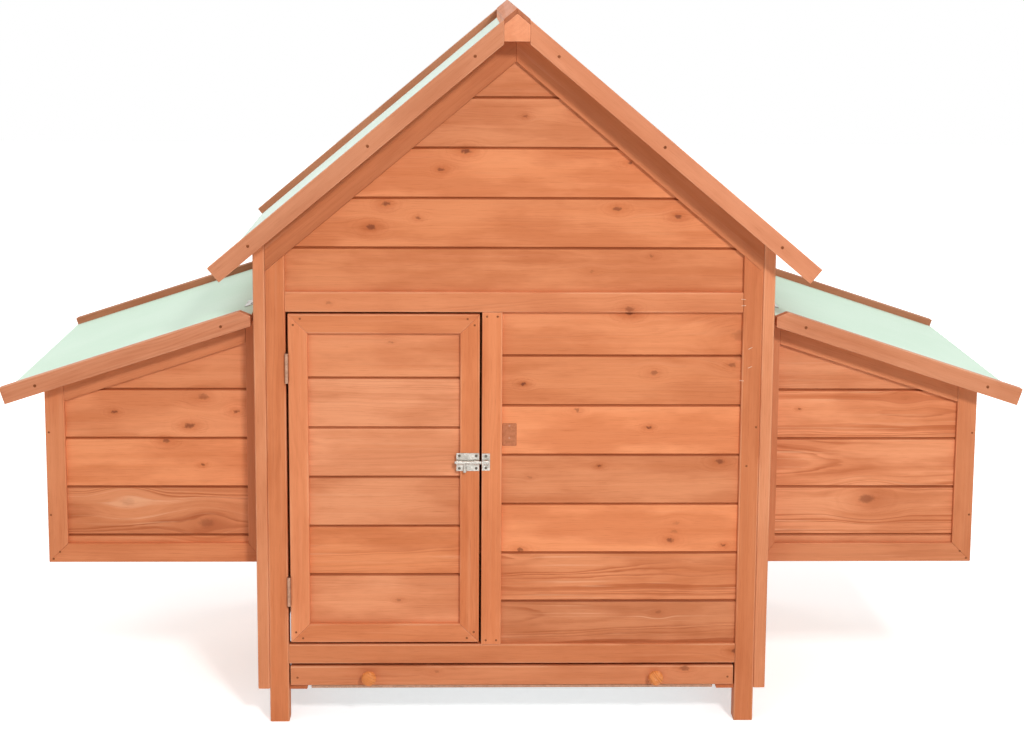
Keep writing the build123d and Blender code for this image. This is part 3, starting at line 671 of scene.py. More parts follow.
def mark_faces(bm, corners, rims, along, across, ends, seams, wear):
    """Mark a timber's end grain, the seams along a board, and the worn edges of a frame."""
    marks = bm.faces.layers.float_vector["marks"]
    for face in {face for corner in corners for face in corner.link_faces}:
        end = max(0.0, min(1.0, (abs(face.normal.dot(along)) - END_GRAIN_START) / END_GRAIN_SPAN))
        seam = seams if end == 0.0 and abs(face.normal.dot(across)) > SEAM_TURN else 0.0
        face[marks] = Vector((end * ends, seam, wear if face in rims else 0.0))


# Pieces

def corner_numbers(item):
    """Numbers of the corners of an edge or face."""
    return sorted(corner.index for corner in item.verts)


def settle(bm):
    """Put corners, edges and faces in an order that every run shares."""
    bm.normal_update()
    for items, key in ((bm.verts, lambda corner: (*corner.co, *corner.normal)),
                       (bm.edges, corner_numbers), (bm.faces, corner_numbers)):
        for number, item in enumerate(sorted(items, key=key)):
            item.index = number
        items.sort()


def finished(name, bm, node_names, body, material, slot):
    """Turn a mesh into a piece that rides on a body and stands for CAD nodes."""
    settle(bm)
    mesh = bpy.data.meshes.new(name)
    bm.to_mesh(mesh)
    bm.free()
    mesh.materials.append(material)
    piece = bpy.data.objects.new(name, mesh)
    bpy.context.scene.collection.objects.link(piece)
    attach(piece, body)
    if node_names:
        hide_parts(*node_names)
    return piece


def stand_in(node, finish, bm, material, slot):
    """Piece that takes the place of one CAD node, on the node's own body."""
    return finished(f"{node}_{finish}", bm, [node], frame["nodes"][node]["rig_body"], material, slot)


def pick(values, index, otherwise):
    """One of a list of values, or another where the list is too short."""
    return values[index] if index < len(values) else otherwise


def stain(node, material, slot, ease, direction=longest_edge, figure=0.3, tones=(), figures=(),
          fades=(), fade=(0.0, 0.5), ends=1.0, seams=0.0, wear=0.0):
    """Stained copy of a timber node.

    Tones, figures and fades go from the lowest timber up. Where they run out, chance gives the rest.
    """
    chance = random.Random(node)
    bm = stained_mesh()
    for index, triangles in enumerate(sorted(solids_of(node), key=height_of)):
        corners = add_solid(bm, triangles)
        along = direction(corners)
        corners, rims = ease_edges(bm, corners, ease)
        bm.normal_update()
        tone = pick(tones, index, chance.uniform(*TONE_RANGE))
        strength = pick(figures, index, figure * chance.uniform(*FIGURE_RANGE))
        faded = pick(fades, index, chance.uniform(*fade))
        across = lay_grain(bm, corners, along, chance, Vector((tone, strength, faded)))
        mark_faces(bm, corners, rims, along, across, ends, seams, wear)
    bmesh.ops.dissolve_degenerate(bm, dist=SLIVER, edges=bm.edges[:])
    return stand_in(node, "stained", bm, material, slot)


def boards(node, knots=None, figure=0.4, **traits):
    """Stained tongue-and-groove boards."""
    fir = settings("fir")
    name = "fir_boards" if knots is None else "fir_" + node
    material = fir_material(name, fir.board_colour, knots, patchy=0.8)
    return stain(node, material, "stained_board", fir.board_ease, longest_side, figure, seams=1.0, **traits)


def timber(node, figure=0.2, fade=(0.0, 0.35), knots=(), wear=0.45, **traits):
    """Stained frame timber."""
    fir = settings("fir")
    material = fir_material("fir_" + node if knots else "fir_frames", fir.frame_colour, knots)
    return stain(node, material, "stained_frame", fir.timber_ease, longest_edge, figure, fade=fade, wear=wear,
                 **traits)


def trim(node, figure=0.2, wear=0.5, **traits):
    """Stained trim of the roof and lids."""
    fir = settings("fir")
    material = fir_material("fir_trim", fir.trim_colour, ())
    return stain(node, material, "stained_frame", fir.timber_ease, longest_edge, figure, wear=wear, **traits)


def panel(node):
    """Plywood panel."""
    material = plywood_material("plywood", settings("sheet").plywood_colour)
    return stain(node, material, "plywood", settings("fir").board_ease)


def sheet_cover(node, material):
    """Mint sheet with its edges softened."""
    bm = bmesh.new()
    for triangles in solids_of(node):
        ease_edges(bm, add_solid(bm, triangles), settings("sheet").sheet_ease)
    return stand_in(node, "sheeted", bm, material, "green_sheet")


def plate(node, material, slot):
    """Metal copy of a node, smooth round its curves."""
    bm = bmesh.new()
    for triangles in solids_of(node):
        add_solid(bm, triangles)
    smooth_faces(bm)
    for edge in bm.edges:
        edge.smooth = edge.calc_face_angle(0) < SHARP
    return stand_in(node, "plated", bm, material, slot)


def facing(place, normal):
    """Matrix that stands a fastener on a surface."""
    return Matrix.Translation(place) @ Vector(normal).to_track_quat("Z", "Y").to_matrix().to_4x4()


def ring_of(bm, spots, height, turn):
    """Closed ring of edges through spots at one height."""
    corners = [bm.verts.new(turn @ Vector((x, y, height))) for x, y in spots]
    return [bm.edges.new(pair) for pair in zip(corners, corners[1:] + corners[:1])]


def screw_head(bm, place, normal, radius):
    """Low screw head with a cross recess."""
    turn = facing(place, normal)
    circle = [(cos(i * pi / 12), sin(i * pi / 12)) for i in range(24)]
    cross = [(0.62, -0.13), (0.62, 0.13), (0.13, 0.13), (0.13, 0.62), (-0.13, 0.62), (-0.13, 0.13),
             (-0.62, 0.13), (-0.62, -0.13), (-0.13, -0.13), (-0.13, -0.62), (0.13, -0.62), (0.13, -0.13)]
    rings = []
    for outline, scale, height in ((circle, 1.0, 0.0), (circle, 0.94, 0.14), (circle, 0.8, 0.22),
                                   (cross, 1.0, 0.26), (cross, 0.9, 0.05)):
        spots = [(x * scale * radius, y * scale * radius) for x, y in outline]
        rings.append(ring_of(bm, spots, height * radius, turn))
    for lower, upper in zip(rings, rings[1:]):
        bmesh.ops.bridge_loops(bm, edges=lower + upper)
    for end in (rings[0], rings[-1]):
        bmesh.ops.edgeloop_fill(bm, edges=end)


def brad_head(bm, place, normal, radius):
    """Small round brad head."""
    lift = facing(place, normal) @ Matrix.Translation((0, 0, radius * 0.08))
    bmesh.ops.create_cone(bm, cap_ends=True, segments=14, radius1=radius, radius2=radius * 0.72,
                          depth=radius * 0.16, matrix=lift)


def driven(name, body, add_head, places, radius, material):
    """One piece of all the heads of a kind that ride on a body."""
    bm = bmesh.new()
    for place, normal in places:
        add_head(bm, place, normal, radius)
    bmesh.ops.recalc_face_normals(bm, faces=bm.faces)
    return finished(name, bm, [], body, material, "zinc_plate")


# Places

def inset(low, high, distance):
    """Two places a distance in from both ends."""
    return low + distance, high - distance


def barge_places(node, distances):
    """Places on both faces of a pair of barge boards, at distances up the slope from their eave."""
    low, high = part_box(node)
    side = 1 if high.x > -low.x else -1
    places = [corner.co for corner in frame["nodes"][node].data.vertices]
    tip = max(places, key=lambda place: place.x * side)
    foot = min(places, key=lambda place: place.z)
    down = Vector((foot.x - tip.x, 0, foot.z - tip.z))
    slope = Vector((down.z * side, 0, -down.x * side)).normalized()
    for distance in distances:
        spot = Vector((tip.x, 0, tip.z)) + down / 2 + slope * distance
        yield Vector((spot.x, low.y, spot.z)), FRONT
        yield Vector((spot.x, high.y, spot.z)), Y_AXIS


def leaf_places(triangles, up):
    """Two places on the flat of a hinge leaf, side by side along its pin."""
    bm = bmesh.new()
    add_solid(bm, triangles)
    bm.normal_update()
    flat = max((face for face in bm.faces if face.normal.dot(up) > 0.5), key=lambda face: face.calc_area())
    middle, normal = flat.calc_center_bounds(), flat.normal.copy()
    reach = max(abs(corner.co.y - middle.y) for corner in flat.verts)
    bm.free()
    for shift in (-0.55, 0.55):
        yield middle + Y_AXIS * reach * shift, normal


def on_front(node, spots):
    """Places (x, z) on the front face of a node."""
    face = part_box(node)[0].y
    return [(Vector((x, face, z)), FRONT) for x, z in spots]


def knots_at(spots, scale, pixel, x, z):
    """Knots (x, y, radius, depth) in pixels of the front view, one of which lies at x and z on the coop."""
    return [(x + (across - pixel[0]) * scale, z + (pixel[1] - down) * scale, size * scale, depth)
            for across, down, size, depth in spots]


def wall_knots(*spots):
    """Knots on the front wall, given in pixels."""
    return knots_at(spots, WALL_PIXEL, WALL_FOOT, 0.0, 0.0)


def levels(*values):
    """Values for a nest box's boards from the lowest row up, with three boards to a row."""
    return [value for value in values for _ in range(3)]


class CoopOperator:
    """Shared parts of the coop's operators."""

    bl_options = {"REGISTER", "UNDO"}


class COOP_OT_carcass(CoopOperator, bpy.types.Operator):
    """Stain the posts, rails, rafters, side and back frames, perch and runners; the gable rafters get painted
    shade.
    """

    bl_idname = "coop.carcass"
    bl_label = "Carcass"

    def execute(self, context):
        for node, tone in (("front_left_post", 0.94), ("front_right_post", 0.87), ("back_left_post", 0.94),
                           ("back_right_post", 0.94)):
            timber(node, fade=(0.0, 0.0), tones=(tone,))
        timber("front_rails", tones=(0.88, 0.97),
               knots=wall_knots((738, 655, 3.2, 0.8), (626, 303, 4, 0.6), (330, 297, 2.5, 0.3)))
        timber("front_mullion", tones=(1.04,))
        for node in ("left_wall_frame", "right_wall_frame"):
            timber(node, fade=(0.4, 0.8))
        # The gable rafters get darker tones than the other frames: painted shade from the barge boards that
        # overhang them.
        for node in ("front_gable_rafters", "back_gable_rafters"):
            timber(node, tones=(0.82, 0.72), wear=0.08)
        for node in ("back_frame", "perch", "perch_cleats", "tray_runners"):
            timber(node)
        return {"FINISHED"}


class COOP_OT_wall_boards(CoopOperator, bpy.types.Operator):
    """Stain the boards of the front, gables, sides and back."""

    bl_idname = "coop.wall_boards"
    bl_label = "Wall boards"

    front_spots = ((626, 307, 4.5, 0.9), (521.6, 379.6, 2.6, 1.0), (651, 368, 3.4, 0.55),
                   (729.7, 359.7, 3.4, 0.6), (575.5, 406, 2.8, 0.5), (646.8, 424, 2.2, 0.9),
                   (597.8, 463.3, 1.8, 0.8), (529, 475, 2.0, 0.3), (719, 458.4, 4, 0.75),
                   (671, 540, 3.2, 0.75), (674.5, 531, 3.0, 0.28), (677, 522, 2.8, 0.2),
                   (519.3, 550, 3, 0.7), (725, 545.4, 2, 0.8), (660, 615.6, 2.6, 0.35),
                   (738, 330, 9, 0.3), (738, 352, 6, 0.25))
    gable_spots = ((464.4, 147.5, 4.4, 0.9), (440.7, 165.5, 2.8, 0.7), (385.6, 199.5, 3.6, 0.8),
                   (417, 213.3, 2.4, 0.7), (371, 222.5, 4, 0.8), (521.6, 113.4, 2.2, 0.6),
                   (575.5, 110, 4, 0.4), (624, 158.7, 2.5, 0.8), (613, 203.6, 3.6, 0.7),
                   (672.5, 211.2, 3.5, 0.8), (647, 250.5, 2.4, 0.4), (588.7, 265.7, 2.4, 0.25))

    def execute(self, context):
        boards("front_wall_boards", wall_knots(*self.front_spots), fade=(0.12, 0.42),
               tones=(0.86, 1.0, 1.16, 0.96, 1.15, 0.97, 1.03),
               figures=(1.0, 0.85, 0.12, 0.16, 0.14, 0.2, 0.14))
        boards("front_gable_boards", wall_knots(*self.gable_spots), 0.16, fade=(0.1, 0.35),
               tones=(0.94, 0.98, 1.03, 0.9, 0.87))
        for node in ("back_wall_boards", "back_gable_boards", "left_wall_boards", "right_wall_boards"):
            boards(node)
        return {"FINISHED"}


class COOP_OT_roof(CoopOperator, bpy.types.Operator):
    """Stain the barge boards, ridge and roof panels, with painted shade on the rear barge boards."""

    bl_idname = "coop.roof"
    bl_label = "Roof"

    def execute(self, context):
        # The rear barge board of each pair gets a much darker tone (0.6): painted shade. The left front barge
        # board is darker than the right.
        trim("left_roof_barges", tones=(0.84, 0.6))
        trim("right_roof_barges", tones=(0.98, 0.6))
        trim("ridge_beam", tones=(1.12,), ends=0.0)
        trim("ridge_caps", tones=(0.92, 0.92), ends=1.6, wear=0.0)
        for node in ("left_roof_panel", "right_roof_panel"):
            panel(node)
        return {"FINISHED"}


class COOP_OT_nest_boxes(CoopOperator, bpy.types.Operator):
    """Stain the nest boxes, with painted shade on the left box's rafters."""

    bl_idname = "coop.nest_boxes"
    bl_label = "Nest boxes"

    # Knots in pixels of the front view, and the pixels of the boxes' lower outer corners.
    left_spots = ((117, 407.7, 2.4, 0.8), (238, 407, 2.8, 0.8), (206, 392, 4.6, 0.45),
                  (192, 421.7, 4.2, 0.8), (168.4, 437, 3.6, 0.7), (204.2, 461.7, 2, 0.8),
                  (207, 522, 7, 0.4), (128, 500, 6, 0.15))
    left_corner = (49.5, 561)
    right_spots = ((869.7, 503, 7, 0.6), (798, 410, 1.4, 0.7), (905, 398, 4, 0.1))
    right_corner = (976.5, 567)

    def execute(self, context):
        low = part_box("left_nest_frame")[0]
        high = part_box("right_nest_frame")[1]
        left = knots_at(self.left_spots, NEST_PIXEL, self.left_corner, low.x, low.z)
        right = knots_at(self.right_spots, NEST_PIXEL, self.right_corner, high.x, low.z)
        boards("left_nest_boards", left, fade=(0.15, 0.42), tones=levels(1.0, 0.94, 1.11, 1.06, 0.98),
               figures=levels(0.4, 1.0, 0.14, 0.2, 0.14))
        boards("right_nest_boards", right, fade=(0.55, 0.8), tones=levels(0.98, 1.03, 1.08, 1.09, 0.97),
               figures=levels(0.5, 1.0, 0.85, 0.9, 0.4))
        # The two highest timbers of the left box's frame, its rafters, are darker: painted shade under the
        # lid's barge boards.
        timber("left_nest_frame", tones=(0.95,) * 10 + (0.86, 0.86), wear=0.15)
        timber("right_nest_frame", tones=(0.88,) * 12, fade=(0.2, 0.4), wear=0.15)
        for node in ("left_nest_floor", "right_nest_floor"):
            panel(node)
        return {"FINISHED"}


class COOP_OT_lids(CoopOperator, bpy.types.Operator):
    """Stain the lids of the nest boxes, with painted shade on their rear barge boards."""

    bl_idname = "coop.lids"
    bl_label = "Lids"

    def execute(self, context):
        # The rear barge board of each lid gets a much darker tone (0.6): painted shade.
        for side in ("left", "right"):
            trim(side + "_lid_barges", tones=(0.88, 0.6))
            panel(side + "_lid_panel")
        return {"FINISHED"}


class COOP_OT_sheets(CoopOperator, bpy.types.Operator):
    """Cover the roof and lids with mint sheet; the roof's is paler, a painted sheen."""

    bl_idname = "coop.sheets"
    bl_label = "Mint sheets"

    def execute(self, context):
        sheet = settings("sheet")
        for side in ("left", "right"):
            # The roof gets the paler mint: painted sheen.
            sheet_cover(side + "_roof_sheet", mint_material("mint_roof", sheet.roof_sheen_colour))
            sheet_cover(side + "_lid_sheet", mint_material("mint_lid", sheet.mint_colour))
        return {"FINISHED"}


class COOP_OT_door(CoopOperator, bpy.types.Operator):
    """Stain the door."""

    bl_idname = "coop.door"
    bl_label = "Door"

    def execute(self, context):
        boards("door_boards", wall_knots((397, 602, 2.0, 0.4), (390, 337, 1.6, 0.3)), 0.3,
               tones=(1.07, 1.03, 1.01, 1.1, 1.06, 1.02), fades=(0.75, 0.1, 0.7, 1.0, 0.9, 0.45))
        timber("door_stiles", 0.25, tones=(1.12, 1.0), fades=(0.4, 0.0))
        timber("door_rails", tones=(0.97, 0.95))
        return {"FINISHED"}


class COOP_OT_tray(CoopOperator, bpy.types.Operator):
    """Finish the pull-out tray."""

    bl_idname = "coop.tray"
    bl_label = "Tray"

    hem_height: length_setting("Hem", "Height of the pan's hem under the tray's front", 0.004)
    hem_clear: length_setting("Hem ends", "Distance of the hem from the front's ends", 0.03)
    hem_step: length_setting("Hem step", "How much less deep than the front the hem is", 0.001)
    hem_edge: length_setting("Hem edge", "Radius of the hem's edges", 0.0007)

    # Half outline of a knob, from its foot to its crown, in parts of its radius and its reach.
    knob_outline = ((0.0, 0.0), (0.55, 0.0), (0.55, 0.2), (0.72, 0.3), (0.92, 0.44), (1.0, 0.58),
                    (0.98, 0.7), (0.88, 0.84), (0.7, 0.94), (0.4, 0.99), (0.0, 1.0))

    def execute(self, context):
        timber("tray_front", tones=(0.93,), fades=(0.4,),
               knots=wall_knots((687.5, 673, 4.2, 0.6), (436, 676, 2.6, 0.3)))
        timber("tray_rails")
        plate("tray_pan", pan_material(), "galvanised_pan")
        self.pan_hem()
        self.knobs()
        return {"FINISHED"}

    def pan_hem(self):
        """Hem the pan's sheet under the tray's front, clear of the runners."""
        low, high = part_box("tray_front")
        size = Vector((high.x - low.x - 2 * self.hem_clear, high.y - low.y - self.hem_step, self.hem_height))
        middle = Vector(((low.x + high.x) / 2, (low.y + high.y) / 2, low.z - self.hem_height / 2))
        bm = bmesh.new()
        add_block(bm, middle, size)
        round_off(bm, bm.edges[:], self.hem_edge, 3)
        finished("tray_pan_lip", bm, [], "tray", tarnished_material(), "galvanised_pan")

    def knobs(self):
        """Turn the two knobs as round and deep as the plain ones."""
        low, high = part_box("tray_knobs")
        radius = (high.z - low.z) / 2
        reach = high.y - low.y
        chance = random.Random("tray_knobs")
        bm = stained_mesh()
        for x in inset(low.x, high.x, radius):
            foot = Vector((x, high.y, low.z + radius))
            spots = [foot + Vector((out * radius, -rise * reach, 0)) for out, rise in self.knob_outline]
            corners = [bm.verts.new(spot) for spot in spots]
            edges = [bm.edges.new(pair) for pair in zip(corners, corners[1:])]
            known = set(bm.verts) - set(corners)
            bmesh.ops.spin(bm, geom=corners + edges, cent=foot, axis=Y_AXIS, angle=2 * pi, steps=48,
                           use_merge=True)
            bmesh.ops.remove_doubles(bm, verts=[v for v in bm.verts if v not in known], dist=0.00001)
            made = [corner for corner in bm.verts if corner not in known]
            lay_grain(bm, made, Y_AXIS, chance, Vector((1.0, 0.7, 0.0)))
        bmesh.ops.recalc_face_normals(bm, faces=bm.faces)
        smooth_faces(bm)
        material = fir_material("fir_knobs", settings("fir").knob_colour, ())
        finished("tray_knobs_stained", bm, ["tray_knobs"], "tray", material, "stained_frame")


class COOP_OT_fittings(CoopOperator, bpy.types.Operator):
    """Plate the hinges and the barrel bolt."""

    bl_idname = "coop.fittings"
    bl_label = "Hinges and latch"

    def execute(self, context):
        for node in ("door_hinge_post_leaves", "door_hinge_door_leaves"):
            plate(node, tarnished_material(), "zinc_plate")
        for node in ("latch_plate", "latch_bolt", "latch_keeper",
                     "left_lid_hinge_wall_leaves", "left_lid_hinge_lid_leaves",
                     "right_lid_hinge_wall_leaves", "right_lid_hinge_lid_leaves"):
            plate(node, zinc_material(), "zinc_plate")
        return {"FINISHED"}


class COOP_OT_fasteners(CoopOperator, bpy.types.Operator):
    """Drive the screws, brads and staples."""

    bl_idname = "coop.fasteners"
    bl_label = "Screws and brads"

    # Distances of the screws up the slope of the roof's and the lids' barge boards.
    roof_runs = (0.064, 0.28, 0.472)
    lid_runs = (0.05, 0.328)

    # Brads: places (x, z) on the right post, and insets (x, z) from the corners of the other frames.
    post_brads = ((0.3465, 0.440), (0.334, 0.383))
    mullion_inset = (0.007, 0.006)
    nest_insets = ((0.005, 0.194), (0.0045, 0.071), (0.016, 0.0155), (0.0065, 0.005))
    door_insets = ((0.0075, 0.0155), (0.0175, 0.0065))
    tray_left_inset = 0.01
    tray_right_inset = 0.008
    tray_rise = 0.012

    # Screws of the latch: insets from the sides of its plate and keeper, and from their tops and feet.
    plate_inset = 0.0042
    keeper_inset = 0.00575
    latch_rise = 0.0038
    latch_gauge = 0.0012

    # Staples on the right post: distance from its joint, height, tilt in degrees, and how far out they stand.
    staple_spots = ((0.0, 0.6255, 4), (0.0005, 0.6165, -3), (0.0, 0.508, 6), (0.0115, 0.555, -28),
                    (0.0115, 0.5275, -24))
    staple_lift = 0.0002

    def execute(self, context):
        self.barge_screws("roof_screws", "coop", ("left_roof_barges", "right_roof_barges"), self.roof_runs)
        for side in ("left", "right"):
            self.barge_screws(side + "_lid_screws", side + "_lid", [side + "_lid_barges"], self.lid_runs)
        self.brads("frame_brads", "coop", self.frame_spots())
        self.brads("door_brads", "door", self.door_spots())
        self.brads("tray_brads", "tray", self.tray_spots())
        low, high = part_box("latch_plate")
        self.latch_screws("latch_plate", "door", inset(low.x, high.x, self.plate_inset))
        self.latch_screws("latch_keeper", "coop", [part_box("latch_keeper")[0].x + self.keeper_inset])
        self.hinge_screws()
        self.staples()
        return {"FINISHED"}

    def barge_screws(self, name, body, nodes, runs):
        """Screws in both faces of barge boards."""
        spots = [spot for node in nodes for spot in barge_places(node, runs)]
        driven(name, body, screw_head, spots, settings("fitting").screw_radius, brad_material())

    def brads(self, name, body, spots):
        """Brads that ride on a body."""
        driven(name, body, brad_head, spots, settings("fitting").brad_radius, brad_material())

    def frame_spots(self):
        """Brads in the right post, the mullion and the nest boxes."""
        spots = on_front("front_right_post", self.post_brads)
        low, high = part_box("front_mullion")
        across, rise = self.mullion_inset
        spots += on_front("front_mullion", [(x, z) for x in inset(low.x, high.x, across)
                                            for z in inset(low.z, high.z, rise)])
        for node in ("left_nest_frame", "right_nest_frame"):
            low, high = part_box(node)
            outer, side = (high.x, 1) if high.x > -low.x else (low.x, -1)
            spots += on_front(node, [(outer - side * across, low.z + rise)
                                     for across, rise in self.nest_insets])
        return spots

    def door_spots(self):
        """Brads in the door's mitred corners."""
        low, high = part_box("door_stiles")
        return on_front("door_stiles", [(x + side * across, z + way * rise)
                                        for x, side in ((low.x, 1), (high.x, -1))
                                        for z, way in ((low.z, 1), (high.z, -1))
                                        for across, rise in self.door_insets])

    def tray_spots(self):
        """Brads at the ends of the tray's front."""
        low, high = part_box("tray_front")
        ends = (low.x + self.tray_left_inset, high.x - self.tray_right_inset)
        return on_front("tray_front", [(x, low.z + self.tray_rise) for x in ends])

    def latch_screws(self, node, body, columns):
        """Pairs of screws, one above the other, in a plate of the latch."""
        low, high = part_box(node)
        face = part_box("door_stiles")[0].y - self.latch_gauge
        rows = inset(low.z, high.z, self.latch_rise)
        spots = [(Vector((x, face, z)), FRONT) for x in columns for z in rows]
        radius = settings("fitting").latch_screw_radius
        driven(node + "_screws", body, screw_head, spots, radius, screw_material())

    def hinge_screws(self):
        """Two screws in each leaf of the lids' hinges."""
        radius = settings("fitting").hinge_screw_radius
        for side, out in (("left", -X_AXIS), ("right", X_AXIS)):
            for leaf, body, up in (("wall", "coop", out), ("lid", side + "_lid", Z_AXIS)):
                node = f"{side}_lid_hinge_{leaf}_leaves"
                spots = [spot for triangles in solids_of(node) for spot in leaf_places(triangles, up)]
                driven(node + "_screws", body, screw_head, spots, radius, screw_material())

    def staples(self):
        """Wire staples across the joint of the right post."""
        fitting = settings("fitting")
        bm = bmesh.new()
        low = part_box("front_right_post")[0]
        for x, z, tilt in self.staple_spots:
            turn = Matrix.Rotation(radians(tilt), 4, "Y") @ Matrix.Rotation(pi / 2, 4, "Y")
            bmesh.ops.create_cone(bm, cap_ends=True, segments=10, radius1=fitting.staple_wire,
                                  radius2=fitting.staple_wire, depth=fitting.staple_length,
                                  matrix=Matrix.Translation((low.x + x, low.y - self.staple_lift, z)) @ turn)
        material = dull_material("staple", fitting.staple_colour, grime=0.3)
        finished("staples", bm, [], "coop", material, "zinc_plate")


class COOP_OT_blank_plate(CoopOperator, bpy.types.Operator):
    """Fix the plain metal plate beside the mullion."""

    bl_idname = "coop.blank_plate"
    bl_label = "Blank plate"

    width: length_setting("Width", "Width of the plate", 0.0205)
    height: length_setting("Height", "Height of the plate", 0.033)
    gauge: length_setting("Gauge", "Thickness of the plate", 0.0009)
    foot: length_setting("Foot", "Height of its lower edge", 0.411)
    corner: length_setting("Corners", "Radius of the plate's corners", 0.0016)
    rim: length_setting("Rim", "Radius of the plate's edges", 0.0002)
    gap: length_setting("Gap", "Distance from the mullion", 0.0005)
    upper_rivet: length_setting("Upper rivet", "Distance from the plate's top", 0.0035)
    lower_rivet: length_setting("Lower rivet", "Distance from the plate's foot", 0.0115)

    def execute(self, context):
        fitting = settings("fitting")
        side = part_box("front_mullion")[1].x + self.gap
        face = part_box("front_wall_boards")[0].y
        middle = Vector((side + self.width / 2, face - self.gauge / 2, self.foot + self.height / 2))
        bm = bmesh.new()
        add_block(bm, middle, (self.width, self.gauge, self.height))
        corners = [edge for edge in bm.edges if abs((edge.verts[0].co - edge.verts[1].co).y) > self.gauge / 2]
        round_off(bm, corners, self.corner, 4)
        rim = [edge for edge in bm.edges if edge.calc_face_angle(0) > radians(60)]
        round_off(bm, rim, self.rim, 2)
        finished("blank_plate", bm, [], "coop", dull_material("plate", fitting.plate_colour, grime=0.4),
                 "zinc_plate")
        rivets = [(Vector((middle.x, face - self.gauge, self.foot + rise)), FRONT)
                  for rise in (self.height - self.upper_rivet, self.lower_rivet)]
        driven("blank_plate_rivets", "coop", brad_head, rivets, fitting.rivet_radius,
               dull_material("rivet", fitting.rivet_colour, grime=0.3))
        return {"FINISHED"}


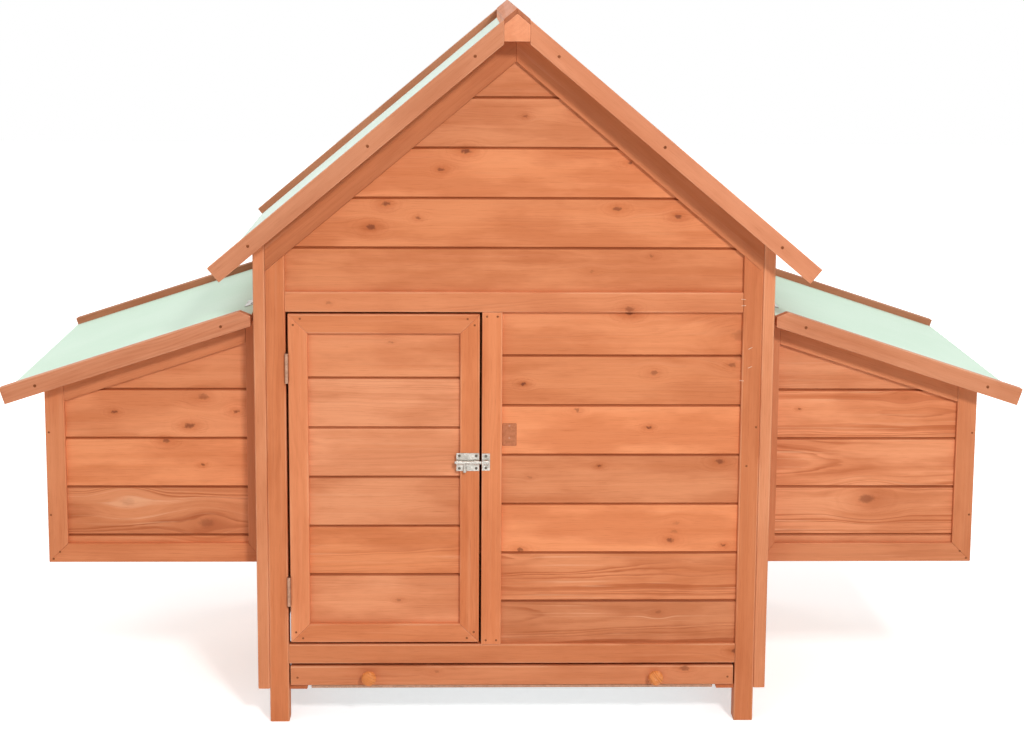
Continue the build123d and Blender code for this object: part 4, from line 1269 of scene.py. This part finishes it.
class COOP_OT_stage(CoopOperator, bpy.types.Operator):
    """Set the floor, the lamps, the white surroundings and the camera."""

    bl_idname = "coop.stage"
    bl_label = "Stage"

    # Name, place, size and power of each lamp, and the place that all are turned to.
    lamps = (("key_lamp", (1.0, -3.3, 2.45), 0.45, "key_power"),
             ("top_lamp", (-0.7, -0.7, 3.4), 3.0, "top_power"),
             ("fill_lamp", (-2.6, -3.0, 1.7), 2.2, "fill_power"),
             ("rear_left_lamp", (-3.0, 2.4, 2.2), 2.0, "rear_power"),
             ("rear_right_lamp", (3.0, 2.4, 2.2), 2.0, "rear_power"))
    lamp_target = Vector((0.0, 0.0, 0.45))

    # Half the floor's side, and how far from the coop its glow starts and is full.
    floor_reach = 9.0
    glow_start = 0.7
    glow_full = 3.2

    def execute(self, context):
        stage = settings("stage")
        self.make_floor(stage)
        self.make_world(stage)
        for name, place, size, power in self.lamps:
            self.make_lamp(name, place, size, getattr(stage, power))
        self.make_camera(stage)
        context.scene.view_settings.view_transform = "Standard"
        return {"FINISHED"}

    def seen(self, tree):
        """One where the camera sees the surface, itself or in a reflection."""
        path = add_node(tree, "LightPath").outputs
        seen = maths(tree, "MAXIMUM", path["Is Camera Ray"], path["Is Glossy Ray"])
        return maths(tree, "MAXIMUM", seen, path["Is Transmission Ray"])

    def make_floor(self, stage):
        """Pale floor that keeps the coop's shadow and turns white further out."""
        bm = bmesh.new()
        bmesh.ops.create_grid(bm, x_segments=1, y_segments=1, size=self.floor_reach)
        mesh = bpy.data.meshes.new("floor")
        bm.to_mesh(mesh)
        bm.free()
        floor = bpy.data.objects.new("floor", mesh)
        bpy.context.scene.collection.objects.link(floor)
        material, tree, shader = new_material("floor")
        distance = vectors(tree, "LENGTH", object_place(tree))
        white = step(tree, distance, self.glow_start, self.glow_full, stage.floor_glow, 1.0)
        finish_shader(tree, shader, {"Base Color": opaque(stage.floor_colour), "Roughness": 0.9,
                                     "Emission Color": opaque(WHITE),
                                     "Emission Strength": maths(tree, "MULTIPLY", self.seen(tree), white)})
        mesh.materials.append(material)

    def make_world(self, stage):
        """White to the camera, soft daylight to the coop."""
        world = bpy.data.worlds.new("white_room")
        world.use_nodes = True
        tree = world.node_tree
        strength = add_node(tree, "MapRange", {"Value": self.seen(tree), "To Min": stage.daylight,
                                               "To Max": 1.0}).outputs["Result"]
        finish_shader(tree, tree.nodes["Background"], {"Color": opaque(WHITE), "Strength": strength})
        bpy.context.scene.world = world

    def make_lamp(self, name, place, size, power):
        """Square lamp that faces the coop."""
        lamp = bpy.data.lights.new(name, "AREA")
        lamp.size = size
        lamp.energy = power
        holder = bpy.data.objects.new(name, lamp)
        aim = self.lamp_target - Vector(place)
        holder.matrix_world = Matrix.Translation(place) @ aim.to_track_quat("-Z", "Y").to_matrix().to_4x4()
        bpy.context.scene.collection.objects.link(holder)

    def make_camera(self, stage):
        """Camera in front of the coop, a little above its ridge."""
        lens = bpy.data.cameras.new("camera")
        lens.lens = stage.lens
        lens.sensor_width = 36.0
        lens.shift_y = stage.camera_rise
        camera = bpy.data.objects.new("camera", lens)
        pitch, yaw, roll = stage.camera_turn
        level = Matrix.Rotation(yaw, 4, "Z") @ Matrix.Rotation(pi / 2 + pitch, 4, "X")
        camera.matrix_world = Matrix.Translation(stage.camera_place) @ level @ Matrix.Rotation(roll, 4, "Z")
        bpy.context.scene.collection.objects.link(camera)
        bpy.context.scene.camera = camera


SETTINGS = {"fir": FirFinish, "sheet": SheetFinish, "fitting": FittingFinish, "stage": StageFinish}
OPERATORS = (COOP_OT_stage, COOP_OT_carcass, COOP_OT_wall_boards, COOP_OT_roof, COOP_OT_nest_boxes,
             COOP_OT_lids, COOP_OT_sheets, COOP_OT_door, COOP_OT_tray, COOP_OT_fittings, COOP_OT_fasteners,
             COOP_OT_blank_plate)


class COOP_PT_looks(bpy.types.Panel):
    """Settings of the coop's looks and the steps that make them."""

    bl_idname = "COOP_PT_looks"
    bl_label = "Coop"
    bl_space_type = "VIEW_3D"
    bl_region_type = "UI"
    bl_category = "Coop"

    def draw(self, context):
        for name in SETTINGS:
            group = settings(name)
            box = self.layout.box()
            for prop in group.bl_rna.properties:
                if prop.identifier not in ("name", "rna_type"):
                    box.prop(group, prop.identifier)
        for operator in OPERATORS:
            self.layout.operator(operator.bl_idname)


def register():
    for name, group in SETTINGS.items():
        bpy.utils.register_class(group)
        setattr(bpy.types.Scene, "coop_" + name, PointerProperty(type=group))
    for operator in OPERATORS:
        bpy.utils.register_class(operator)
    bpy.utils.register_class(COOP_PT_looks)


def unregister():
    bpy.utils.unregister_class(COOP_PT_looks)
    for operator in reversed(OPERATORS):
        bpy.utils.unregister_class(operator)
    for name, group in SETTINGS.items():
        delattr(bpy.types.Scene, "coop_" + name)
        bpy.utils.unregister_class(group)


def main():
    register()
    bpy.ops.coop.stage()
    bpy.ops.coop.carcass()
    bpy.ops.coop.wall_boards()
    bpy.ops.coop.roof()
    bpy.ops.coop.nest_boxes()
    bpy.ops.coop.lids()
    bpy.ops.coop.sheets()
    bpy.ops.coop.door()
    bpy.ops.coop.tray()
    bpy.ops.coop.fittings()
    bpy.ops.coop.fasteners()
    bpy.ops.coop.blank_plate()


if __name__ == "__main__":
    main()
